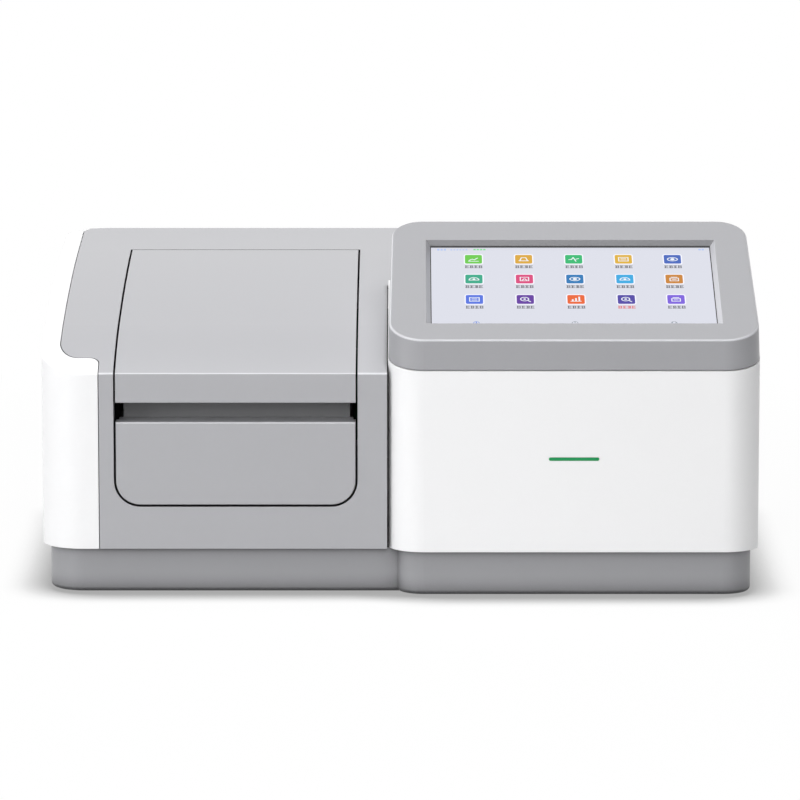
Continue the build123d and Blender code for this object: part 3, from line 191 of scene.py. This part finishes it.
def surface(name, color, rough=0.45, metal=0.0, spread=0.04, scale=400.0, bump=0.00002,
            bump_scale=2500.0, edge=0.0, specular=0.5, coat=0.0, emission=None, strength=0.0,
            crest=0.0, recess=None, crevice=None):
    """Principled surface with a slight mottle, a fine grain and, where asked, rounded edges.

    crest lightens rounded edges as a painted highlight. recess is a box, as centre and half size, whose
    slopes get painted light: a painted highlight on the slope that faces -X, painted shade on the upper
    one. crevice is the reach of painted shade in corners, from ambient occlusion, and the darkest share
    of the colour that it leaves. Lengths are in metres.
    """
    g = material_graph(name)
    place = g.add("TexCoord").outputs["Object"]
    mottle = g.add("TexNoise", Vector=place, Scale=scale, Detail=3.0)
    tone = g.blend(mottle.outputs["Fac"], scaled(color, 1 - spread), scaled(color, 1 + spread))
    # Painted highlight on rounded edges, picked out by the lean of their normals
    if crest > 0:
        normal = g.add("SeparateXYZ", Vector=g.add("NewGeometry").outputs["Normal"]).outputs
        painted_highlight = edge_highlight_mask(g, normal)
        # Painted highlight on the recess's slope that faces -X and painted shade, towards black, on its
        # upper slope
        if recess:
            painted_highlight, slope_shade = recess_painted_light(g, place, normal, painted_highlight, recess)
            tone = g.blend(slope_shade, tone, BLACK_TONE)
        tone = g.blend(painted_highlight, tone, scaled(color, 1 + crest))
    # Painted shade: ambient occlusion darkens the colour in corners and crevices
    if crevice:
        reach, darkest = crevice
        open_share = g.ramp(g.openness(reach, samples=12), *CREVICE_OPENNESS, low=darkest)
        tone = g.blend(open_share, BLACK_TONE, tone)
    base = g.add("BsdfPrincipled", Base_Color=tone, Roughness=rough, Metallic=metal,
                 Specular_IOR_Level=specular, Coat_Weight=coat, Coat_Roughness=0.1)
    if emission is not None:
        base.inputs["Emission Color"].default_value = emission
        base.inputs["Emission Strength"].default_value = strength
    grain = g.add("TexNoise", Vector=place, Scale=bump_scale, Detail=2.0)
    g.relief(base, grain.outputs["Fac"], 1.0, bump, edge, samples=6)
    return g.finish(base)


def moulding(name, color, rough, spread=0.01, **more):
    """Moulded plastic with edges rounded by 0.8 mm."""
    return surface(name, color, rough=rough, spread=spread, edge=0.8 * MM, **more)


def glowing(name, light, strength=1.0, body=shade(20), rough=0.15, spread=0.02, specular=0.5):
    """Part of a lit display."""
    return surface(name, body, rough=rough, spread=spread, bump=0.0, specular=specular,
                   emission=light, strength=strength)


def brushed(name, color, rough, along):
    """Metal with fine lines along one axis."""
    g = material_graph(name)
    place = g.add("TexCoord").outputs["Object"]
    across = 3000.0
    lengthways = 30.0
    scale = tuple(lengthways if axis == along else across for axis in "XYZ")
    stretch = g.add("Mapping", Vector=place, Scale=scale)
    lines = g.add("TexNoise", Vector=stretch.outputs["Vector"], Scale=1.0, Detail=3.0).outputs["Fac"]
    level = g.ramp(lines, 0.3, 0.7, rough * 0.8, rough * 1.25)
    base = g.add("BsdfPrincipled", Metallic=1.0, Roughness=level, Base_Color=color)
    g.relief(base, lines, 0.5, 0.01 * MM, 0.3 * MM, samples=4)
    return g.finish(base)


def clear(name, tint):
    """Glass drawn as a thin glossy tint over what lies behind it."""
    g = material_graph(name)
    place = g.add("TexCoord").outputs["Object"]
    waves = g.add("TexNoise", Vector=place, Scale=60.0, Detail=1.0)
    gloss = g.add("BsdfGlossy", Roughness=0.03, Color=WHITE_TONE)
    g.relief(gloss, waves.outputs["Fac"], 0.2, 0.01 * MM)
    through = g.add("BsdfTransparent", Color=tint)
    mirrored = g.ramp(g.add("Fresnel", IOR=1.5).outputs["Fac"], 0.0, 1.0, low=0.04)
    return g.finish(g.either(mirrored, through, gloss))


# Region of the pod with the screen's recess, as centre and half size in metres, where the edge highlight
# is left out and the slopes get a painted highlight and painted shade
RECESS_BOX = ((0.1357, -0.105, 0), (0.118, 0.075, 1))

WHITE = moulding("white_moulding", (0.845, 0.845, 0.853, 1), 0.32, spread=0.006)
# Painted highlight on the rounded edges of the grey moulding and the bezel, painted shade in the grey
# moulding's crevices, and painted highlight and painted shade on the bezel recess's slopes
GREY = moulding("grey_moulding", (0.392, 0.393, 0.412, 1), 0.32, crest=0.55, crevice=(0.005, 0.12))
BEZEL = moulding("bezel_moulding", (0.328, 0.329, 0.346, 1), 0.3, crest=0.6, recess=RECESS_BOX)
# Painted shade in the base's corners, darkest under the shells' overhang
BASE = moulding("base_moulding", (0.3, 0.301, 0.315, 1), 0.45, crevice=(0.018, 0.22))
WELL = surface("well_moulding", (0.19, 0.191, 0.197, 1), rough=0.55, spread=0.02, edge=0.0005)
FOAM = surface("foam", (0.02, 0.02, 0.02, 1), rough=0.95, spread=0.2, bump=0.0002, bump_scale=900.0)
RUBBER = surface("foot_rubber", (0.025, 0.025, 0.027, 1), rough=0.8, spread=0.1, bump=0.00005)
BLACK = surface("black_plastic", (0.03, 0.03, 0.032, 1), rough=0.5, spread=0.08, edge=0.0003)
PANEL = surface("coated_panel", (0.62, 0.62, 0.63, 1), rough=0.55, spread=0.02, bump=0.00005,
                bump_scale=1400.0, edge=0.0005)
SHEET = surface("plated_sheet", (0.6, 0.61, 0.62, 1), rough=0.38, metal=0.9, spread=0.05, edge=0.0004)
ANODISED = surface("anodised", (0.035, 0.035, 0.038, 1), rough=0.42, metal=0.3, spread=0.08,
                   edge=0.0004)
CAST = surface("cast_metal", (0.55, 0.56, 0.57, 1), rough=0.5, metal=0.9, spread=0.08, scale=900.0,
               bump=0.00008, bump_scale=1200.0, edge=0.0004)
MOTOR = surface("motor_case", (0.06, 0.06, 0.065, 1), rough=0.4, metal=0.5, spread=0.1, edge=0.0004)
STEEL = brushed("ground_steel", (0.62, 0.62, 0.63, 1), 0.22, "Y")
ZINC = brushed("zinc_screw", (0.62, 0.62, 0.6, 1), 0.3, "Z")
BRASS = brushed("machined_brass", (0.75, 0.55, 0.25, 1), 0.3, "Z")
SOCKET = brushed("socket_shell", (0.6, 0.6, 0.61, 1), 0.28, "X")
SILVER = surface("mirror_face", (0.93, 0.94, 0.95, 1), rough=0.04, metal=1.0, spread=0.005, bump=0.0)
BOARD = surface("solder_mask", (0.02, 0.14, 0.06, 1), rough=0.35, spread=0.15, scale=900.0, coat=0.3)
CABLE = surface("flat_cable", (0.42, 0.42, 0.43, 1))
QUARTZ = clear("quartz", (0.97, 0.98, 1.0, 1))
COVER = clear("cover_glass", (0.95, 0.96, 0.98, 1))
FRAME = surface("display_frame", (0.05, 0.05, 0.055, 1), rough=0.35, metal=0.5, spread=0.05,
                edge=0.0003)
GREEN = surface("green_light_pipe", shade(8, 105, 55), rough=0.35, spread=0.02, specular=0.3,
                emission=shade(8, 125, 70), strength=0.6)

LOOKS = {
    WHITE: ["left_side_shell", "right_housing"],
    GREY: ["compartment_fascia", "compartment_lid", "front_panel"],
    BEZEL: ["display_bezel"],
    BASE: ["base_tray"],
    WELL: ["compartment_tub"],
    FOAM: ["lid_seal"],
    RUBBER: ["rubber_feet"],
    BLACK: ["lid_liner", "panel_clips", "power_inlet", "rocker_frame", "power_rocker", "fan_frame",
            "fan_rotor"],
    PANEL: ["rear_panel"],
    SHEET: ["lamp_housing", "power_supply"],
    ANODISED: ["window_rings", "cell_carriage", "monochromator_housing", "monochromator_cover",
               "filter_wheel", "detector_block", "fan_guard"],
    CAST: ["compartment_posts", "rod_blocks", "optical_bench", "grating_turntable"],
    MOTOR: ["carriage_motor", "grating_motor", "filter_motor", "source_mirror_motor"],
    STEEL: ["guide_rods", "hinge_pins"],
    ZINC: ["rear_screws", "bench_screws", "lid_hinge_leaves", "hinge_brackets", "slit_plates",
           "board_standoffs"],
    BRASS: ["carriage_rack", "drive_pinion"],
    SOCKET: ["io_ports"],
    SILVER: ["monochromator_mirrors", "diffraction_grating", "source_mirror"],
    BOARD: ["preamp_board", "main_board"],
    CABLE: ["display_ribbon"],
    QUARTZ: ["beam_windows", "deuterium_lamp", "tungsten_lamp"],
    COVER: ["touch_glass"],
    FRAME: ["display_module"],
    GREEN: ["status_light_bar"],
}


def dress(node, material):
    """Give the node one material in all its slots."""
    slots = node.data.materials
    for i in range(len(slots)):
        slots[i] = material
    if not slots:
        slots.append(material)


for material, names in LOOKS.items():
    for name in names:
        dress(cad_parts[name], material)


# The screen's pieces. Outlines are points (x, s) in millimetres, s up the slope.

def on_screen(x, s, lift):
    """Point of the frame that lies lift above the glass."""
    return POD_FRONT + Vector((x, 0, 0)) * MM + UP_SLOPE * s * MM + OFF_SLOPE * (lift - GLASS_DEPTH) * MM


def add_piece(name, mesh, material):
    """Object of a finished bmesh that rides on the chassis."""
    data = bpy.data.meshes.new(name)
    mesh.to_mesh(data)
    mesh.free()
    data.materials.append(material)
    piece = bpy.data.objects.new(name, data)
    bpy.context.scene.collection.objects.link(piece)
    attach(piece, "chassis")


def flat_piece(name, outlines, layer, material):
    """Thin piece on the glass, made of closed outlines between a layer's two heights above it."""
    low, high = layer
    mesh = bmesh.new()
    for outline in outlines:
        bottom = [mesh.verts.new(on_screen(x, s, low)) for x, s in outline]
        top = [mesh.verts.new(on_screen(x, s, high)) for x, s in outline]
        mesh.faces.new(top)
        mesh.faces.new(list(reversed(bottom)))
        n = len(outline)
        for i in range(n):
            mesh.faces.new((bottom[i], bottom[(i + 1) % n], top[(i + 1) % n], top[i]))
    add_piece(name, mesh, material)


def rounded(x, s, width, height, radius, steps=5):
    """Rectangle with round corners."""
    points = []
    for side_x, side_s, start in ((1, 1, 0), (-1, 1, 90), (-1, -1, 180), (1, -1, 270)):
        corner_x = x + side_x * (width / 2 - radius)
        corner_s = s + side_s * (height / 2 - radius)
        for k in range(steps + 1):
            angle = radians(start + 90 * k / steps)
            points.append((corner_x + radius * cos(angle), corner_s + radius * sin(angle)))
    return points


def bar(x, s, width, height, turn=0.0):
    """Rectangle about its centre, turned by degrees."""
    c, n = cos(radians(turn)), sin(radians(turn))
    a, b = width / 2, height / 2
    return [(x + p * c - q * n, s + p * n + q * c) for p, q in ((-a, -b), (a, -b), (a, b), (-a, b))]


def bars(x, s, count, pitch, width, height):
    """Row of bars, from the first one's centre."""
    return [bar(x + pitch * k, s, width, height) for k in range(count)]


def disc(x, s, radius, steps):
    turns = [2 * pi * k / steps for k in range(steps)]
    return [(x + radius * cos(angle), s + radius * sin(angle)) for angle in turns]


def hoop(x, s, rx, ry, width, sweep=360, steps=18):
    """Elliptical ring, or its first part, as short quads."""
    quads = []
    for k in range(steps):
        first = radians(sweep * k / steps)
        last = radians(sweep * (k + 1) / steps)
        quads.append([(x + (rx - width) * cos(first), s + (ry - width) * sin(first)),
                      (x + rx * cos(first), s + ry * sin(first)),
                      (x + rx * cos(last), s + ry * sin(last)),
                      (x + (rx - width) * cos(last), s + (ry - width) * sin(last))])
    return quads


def arch(x, s, rx, ry, width):
    """Upper half of a ring."""
    return hoop(x, s, rx, ry, width, sweep=180, steps=12)


def box(x, s, width, height):
    """Outline of a rectangle, in thin bars."""
    line = 0.8
    return [bar(x, s + height / 2 - line / 2, width, line), bar(x, s - height / 2 + line / 2, width, line),
            bar(x - width / 2 + line / 2, s, line, height), bar(x + width / 2 - line / 2, s, line, height)]


# Plain pictograms about a tile's centre
STROKE = 0.9
PICTOGRAMS = {
    "curve": [bar(-2.6, -1.2, 3.2, STROKE, 45), bar(-0.2, -0.4, 3.0, STROKE, -35),
              bar(2.2, 0.8, 3.6, STROKE, 48), bar(0, -3.4, 8.4, 0.8)],
    "bell": [bar(0, -2.6, 8.0, 1.0), bar(-2.4, 0, STROKE, 5.4, -14), bar(2.4, 0, STROKE, 5.4, 14),
             bar(0, 2.6, 4.4, STROKE)],
    "pulse": [bar(-3, -0.4, 2.4, STROKE, 20), bar(-1.1, 1.2, STROKE, 4.6, -24),
              bar(0.8, -0.6, STROKE, 6.4, 18), bar(2.8, 0.6, 3.0, STROKE, 28)],
    "sheet": box(0, 0, 8.2, 7.0) + [bar(0, 1.0, 4.6, 0.8), bar(0, -1.2, 4.6, 0.8)],
    "eye": hoop(0, 0, 4.4, 3.2, STROKE) + [disc(0, 0, 1.7, 12)],
    "dome": arch(0, -1.4, 4.2, 4.2, STROKE) + [bar(0, -1.8, 8.4, STROKE), disc(0, -0.2, 1.2, 10)],
    "peak": box(0, 0, 7.4, 6.6) + [bar(-1, -0.8, STROKE, 3.4, -30), bar(1, -0.8, STROKE, 3.4, 30)],
    "stack": box(0, -0.8, 7.4, 5.2) + [bar(0, 2.9, 5.2, STROKE), bar(0, -0.8, 3.6, 0.8)],
    "lens": hoop(-0.5, 0.5, 3.6, 3.4, STROKE) + [bar(3.2, -2.9, 3.0, 1.0, -45), disc(-0.5, 0.5, 1.1, 10)],
    "steps": [bar(0, -3.0, 8.6, STROKE), bar(-2.6, -1.2, 1.3, 2.8), bar(0, -0.2, 1.3, 4.6),
              bar(2.6, 1.0, 1.3, 6.6)],
}


def pictogram(kind, x, s):
    return [[(x + a, s + b) for a, b in outline] for outline in PICTOGRAMS[kind]]


LABEL_CLUSTERS = 4
LABEL_PITCH = 3.55
LABEL_SHIFT = 0.025                 # of the label's middle from the tile's


def label(x, s, index):
    """Clusters of dashes that stand for a label and hold no letters."""
    strokes = []
    for k in range(LABEL_CLUSTERS):
        middle = x + LABEL_PITCH * (k - (LABEL_CLUSTERS - 1) / 2) + LABEL_SHIFT
        strokes.append(bar(middle, s + 1.7, 3.1, 0.8))
        strokes.append(bar(middle, s - 1.7, 3.1, 0.9))
        strokes.append(bar(middle - 0.9 + 0.4 * (k % 3), s, 0.7, 4.4))
        strokes.append(bar(middle, s + 0.1, 2.4, 0.7))
        if (index + k) % 2:
            strokes.append(bar(middle + 1.1, s, 0.6, 3.8))
    return strokes


# Lower and upper side of each layer above the glass
FACE_LAYER = (0.02, 0.06)
MARK_LAYER = (0.06, 0.08)
BORDER_LAYER = (0.06, 0.09)
TILE_LAYER = (0.09, 0.12)
GLYPH_LAYER = (0.12, 0.14)

# Tiles, row by row from the top, with the pictogram and the sRGB colour of each
COLUMNS = (58.4, 98.3, 138.1, 177.6, 216.6)
ROWS = (140.6, 107.9, 74.6)
TILE_WIDTH, TILE_HEIGHT, TILE_RADIUS = 13.6, 14.4, 1.6
BORDER_WIDTH, BORDER_HEIGHT, BORDER_RADIUS = 15.4, 16.8, 2.4
TILE_BODY = 0.15                    # share of the lit colour that a dark tile has
LABEL_DROP = 12.4                   # label below its tile's centre
ALERT_TILE = 13                     # its label is red
TILES = (
    ("curve", (104, 205, 66)), ("bell", (222, 168, 40)), ("pulse", (31, 187, 110)),
    ("sheet", (226, 178, 42)), ("eye", (60, 98, 190)),
    ("dome", (42, 170, 135)), ("peak", (222, 62, 122)), ("eye", (20, 118, 185)),
    ("dome", (42, 170, 228)), ("stack", (205, 130, 34)),
    ("sheet", (78, 112, 226)), ("lens", (95, 42, 160)), ("steps", (238, 96, 28)),
    ("lens", (72, 58, 165)), ("stack", (122, 90, 222)),
)

SCREEN = glowing("screen_face", shade(218, 220, 231), 0.96, rough=0.12, spread=0.01, specular=0.25)
BORDER = glowing("tile_border", shade(240, 240, 249), 0.97, body=shade(60), rough=0.12, spread=0.01)
MARK = glowing("white_glyph", shade(232, 238, 244), 0.95, body=shade(60), spread=0.01)
TEXT = glowing("label_text", shade(78, 78, 88))
ALERT = glowing("red_label", shade(214, 80, 84))
NAVY = glowing("blue_marks", shade(120, 146, 214), body=shade(30))
SKY = glowing("sky_marks", shade(168, 190, 236), body=shade(30))
LEAF = glowing("leaf_marks", shade(120, 214, 140), body=shade(30))
FAINT = glowing("grey_marks", shade(140, 150, 160), body=shade(30))


def add_tiles():
    """Tiles with their borders, pictograms and labels."""
    borders = []
    glyphs = []
    labels = []
    red_labels = []
    for index, (kind, color) in enumerate(TILES):
        x, s = COLUMNS[index % len(COLUMNS)], ROWS[index // len(COLUMNS)]
        name = "tile_%02d" % (index + 1)
        body = shade(*[level * TILE_BODY for level in color])
        look = glowing(name, shade(*color), 0.92, body=body, rough=0.12, specular=0.15)
        flat_piece(name, [rounded(x, s, TILE_WIDTH, TILE_HEIGHT, TILE_RADIUS)], TILE_LAYER, look)
        borders.append(rounded(x, s, BORDER_WIDTH, BORDER_HEIGHT, BORDER_RADIUS))
        glyphs += pictogram(kind, x, s)
        row = red_labels if index == ALERT_TILE else labels
        row += label(x, s - LABEL_DROP, index)
    flat_piece("tile_borders", borders, BORDER_LAYER, BORDER)
    flat_piece("tile_glyphs", glyphs, GLYPH_LAYER, MARK)
    flat_piece("tile_labels", labels, MARK_LAYER, TEXT)
    flat_piece("tile_label_alert", red_labels, MARK_LAYER, ALERT)


def add_navigation():
    """Three small marks near the lower edge, the first one active."""
    home, middle, last = 59.5, 136.3, 213.5
    s = 36.4
    active = arch(home, s, 2.6, 3.0, 0.7) + [bar(home, s + 1.0, 1.2, 2.4)]
    idle = arch(middle, s, 2.6, 3.0, 0.6) + arch(last, s, 2.6, 3.0, 0.6)
    idle += [bar(middle, s + 1.8, 0.8, 2.6), bar(last - 1.3, s + 1.0, 0.7, 2.2),
             bar(last + 1.4, s + 1.0, 0.7, 2.2)]
    flat_piece("navigation_active", active, MARK_LAYER, NAVY)
    flat_piece("navigation_idle", idle, MARK_LAYER, FAINT)


def add_status():
    """Dashes along the upper edge."""
    s = 156.6
    left = bars(30.6, s, 3, 2.6, 1.7, 2.6) + bars(41.0, s - 0.2, 6, 2.4, 1.4, 1.6)
    flat_piece("status_marks", left, MARK_LAYER, SKY)
    flat_piece("status_marks_green", bars(59.5, s + 0.2, 4, 2.6, 1.9, 2.4), MARK_LAYER, LEAF)
    flat_piece("status_marks_right", bars(239.0, s + 0.2, 2, 2.6, 1.9, 2.4), MARK_LAYER, SKY)


# Black gasket round the glass, up the recess's slopes, which also stands as painted shade of the recess's
# walls
GASKET_AND_SHADE = surface("display_gasket_and_shade", (0.012, 0.012, 0.013, 1), rough=0.6, spread=0.1)
RECESS_LEAN = tan(radians(39.0))    # run outwards of the slope for each millimetre of rise
GASKET_LIFT = 0.2                   # lower edge above the glass
GASKET_TUCK = 0.12                  # foot of the strip inside the recess's corner
GASKET_LIP = 0.3                    # inner edge inside that corner
GASKET_SIDES = (                    # two corners, as signs, and the height of the strip between them, the upper one tallest as painted shade
    ((-1, -1), (1, -1), 0.5),
    ((1, -1), (1, 1), 0.6),
    ((1, 1), (-1, 1), 1.1),
    ((-1, 1), (-1, -1), 0.6),
)


def add_gasket_and_shade():
    mesh = bmesh.new()
    for start, end, height in GASKET_SIDES:
        ends = []
        for side_x, side_s in (start, end):
            run = height * RECESS_LEAN
            section = ((-GASKET_LIP, 0), (-GASKET_TUCK, 0), (run - GASKET_TUCK, height))
            points = [on_screen(MID_X + side_x * (SCREEN_WIDTH / 2 + out),
                                MID_S + side_s * (SCREEN_HEIGHT / 2 + out), GASKET_LIFT + up)
                      for out, up in section]
            ends.append([mesh.verts.new(point) for point in points])
        a, b = ends
        for k in range(2):
            mesh.faces.new((a[k], b[k], b[k + 1], a[k + 1]))
    bmesh.ops.remove_doubles(mesh, verts=mesh.verts[:], dist=1e-6)
    add_piece("display_gasket_and_shade", mesh, GASKET_AND_SHADE)


FACE_GAP = 0.1                      # between the lit face and the edge of the screen
FACE_RADIUS = 0.6


def add_face():
    outline = rounded(MID_X, MID_S, SCREEN_WIDTH - 2 * FACE_GAP, SCREEN_HEIGHT - 2 * FACE_GAP,
                      FACE_RADIUS, steps=2)
    flat_piece("screen_face", [outline], FACE_LAYER, SCREEN)


add_face()
add_tiles()
add_navigation()
add_status()
add_gasket_and_shade()


# The stage: floor, world, lights and camera, in metres and watts
CONTACT_REACH = 0.042
CONTACT_SHADE = 0.42                # darkest level of the painted contact shadow
CONTACT_OPENNESS = (0.5, 0.97)      # shares of the sky between which it ends
CAST_SHARE = 0.05                   # share of the lit floor in what the camera sees near the object
SHADOW_FADE = (0.45, 0.95)          # distances between which the floor turns plain white
FLOOR_SIZE = 24
FLOOR_LEVELS = (0.80, 0.84)         # range of the floor's own colour
WORLD_FILL = 0.03                   # strength of the world's light on the object
CAMERA_PLACE = (0.0, -4.3029, 0.8436)
CAMERA_TILT = 80.5                  # degrees from looking straight down
LENS_LENGTH = 242.0                 # mm on a sensor 36 mm wide


def seen_directly(g):
    """1 for rays from the camera and from gloss."""
    path = g.add("LightPath").outputs
    return g.math("MAXIMUM", path["Is Camera Ray"], path["Is Glossy Ray"])


def floor_material():
    """White floor that shows the camera a painted contact shadow and a faint share of its real shadow near
    the object, and plain white farther away.
    """
    g = material_graph("floor_white")
    place = g.add("TexCoord").outputs["Object"]
    grain = g.add("TexNoise", Vector=place, Scale=3.0, Detail=1.0)
    level = g.ramp(grain.outputs["Fac"], 0.0, 1.0, *FLOOR_LEVELS)
    paint = g.add("CombineColor", Red=level, Green=level, Blue=level)
    matt = g.add("BsdfDiffuse", Color=paint.outputs["Color"])
    # Painted contact shadow: ambient occlusion dims the white that the camera sees
    contact = g.ramp(g.openness(CONTACT_REACH, samples=16), *CONTACT_OPENNESS, low=CONTACT_SHADE)
    white = g.add("Emission", Color=WHITE_TONE, Strength=contact)
    far = g.ramp(g.vector("LENGTH", place), *SHADOW_FADE, low=1.0 - CAST_SHARE)
    return g.finish(g.either(seen_directly(g), matt, g.either(far, matt, white)))


def add_world():
    """World that is white where it is seen and gives a faint fill elsewhere."""
    world = bpy.data.worlds.new("studio")
    bpy.context.scene.world = world
    g = Graph(world, "OutputWorld")
    plain = g.add("Background", Color=WHITE_TONE, Strength=1.0)
    soft = g.add("Background", Color=(0.97, 0.98, 1.0, 1), Strength=WORLD_FILL)
    g.finish(g.either(seen_directly(g), soft, plain))


# Name, place, target, size and power
LIGHTS = (
    ("top_softbox", (0.0, -0.1, 2.2), (0, 0, 0.1), (2.4, 1.6), 46),
    ("left_softbox", (-2.8, -1.8, 0.9), (0, 0, 0.12), (1.6, 1.2), 35),
    ("front_softbox", (-0.4, -3.0, 1.2), (0, 0, 0.15), (1.8, 1.2), 31.5),
    ("rear_fill", (-2.1, 2.1, 0.9), (0, 0, 0.15), (1.6, 1.2), 14),
    ("edge_strip", (-0.3, -1.3, 2.2), (0, 0, 0.15), (2.6, 0.25), 10),
)


def area_light(name, place, target, size, power):
    lamp = bpy.data.lights.new(name, "AREA")
    lamp.shape = "RECTANGLE"
    lamp.size, lamp.size_y = size
    lamp.energy = power
    holder = bpy.data.objects.new(name, lamp)
    holder.location = place
    holder.rotation_euler = (Vector(target) - Vector(place)).to_track_quat("-Z", "Y").to_euler()
    bpy.context.scene.collection.objects.link(holder)


bpy.ops.mesh.primitive_plane_add(size=FLOOR_SIZE, location=(0, 0, 0))
floor = bpy.context.object
floor.name = "floor"
floor.data.materials.append(floor_material())

add_world()
for light in LIGHTS:
    area_light(*light)

lens = bpy.data.cameras.new("camera")
lens.sensor_width = 36
lens.lens = LENS_LENGTH
lens.clip_end = 50
camera = bpy.data.objects.new("camera", lens)
camera.location = CAMERA_PLACE
camera.rotation_euler = (radians(CAMERA_TILT), 0, 0)
bpy.context.scene.collection.objects.link(camera)
bpy.context.scene.camera = camera
bpy.context.scene.view_settings.view_transform = "Standard"
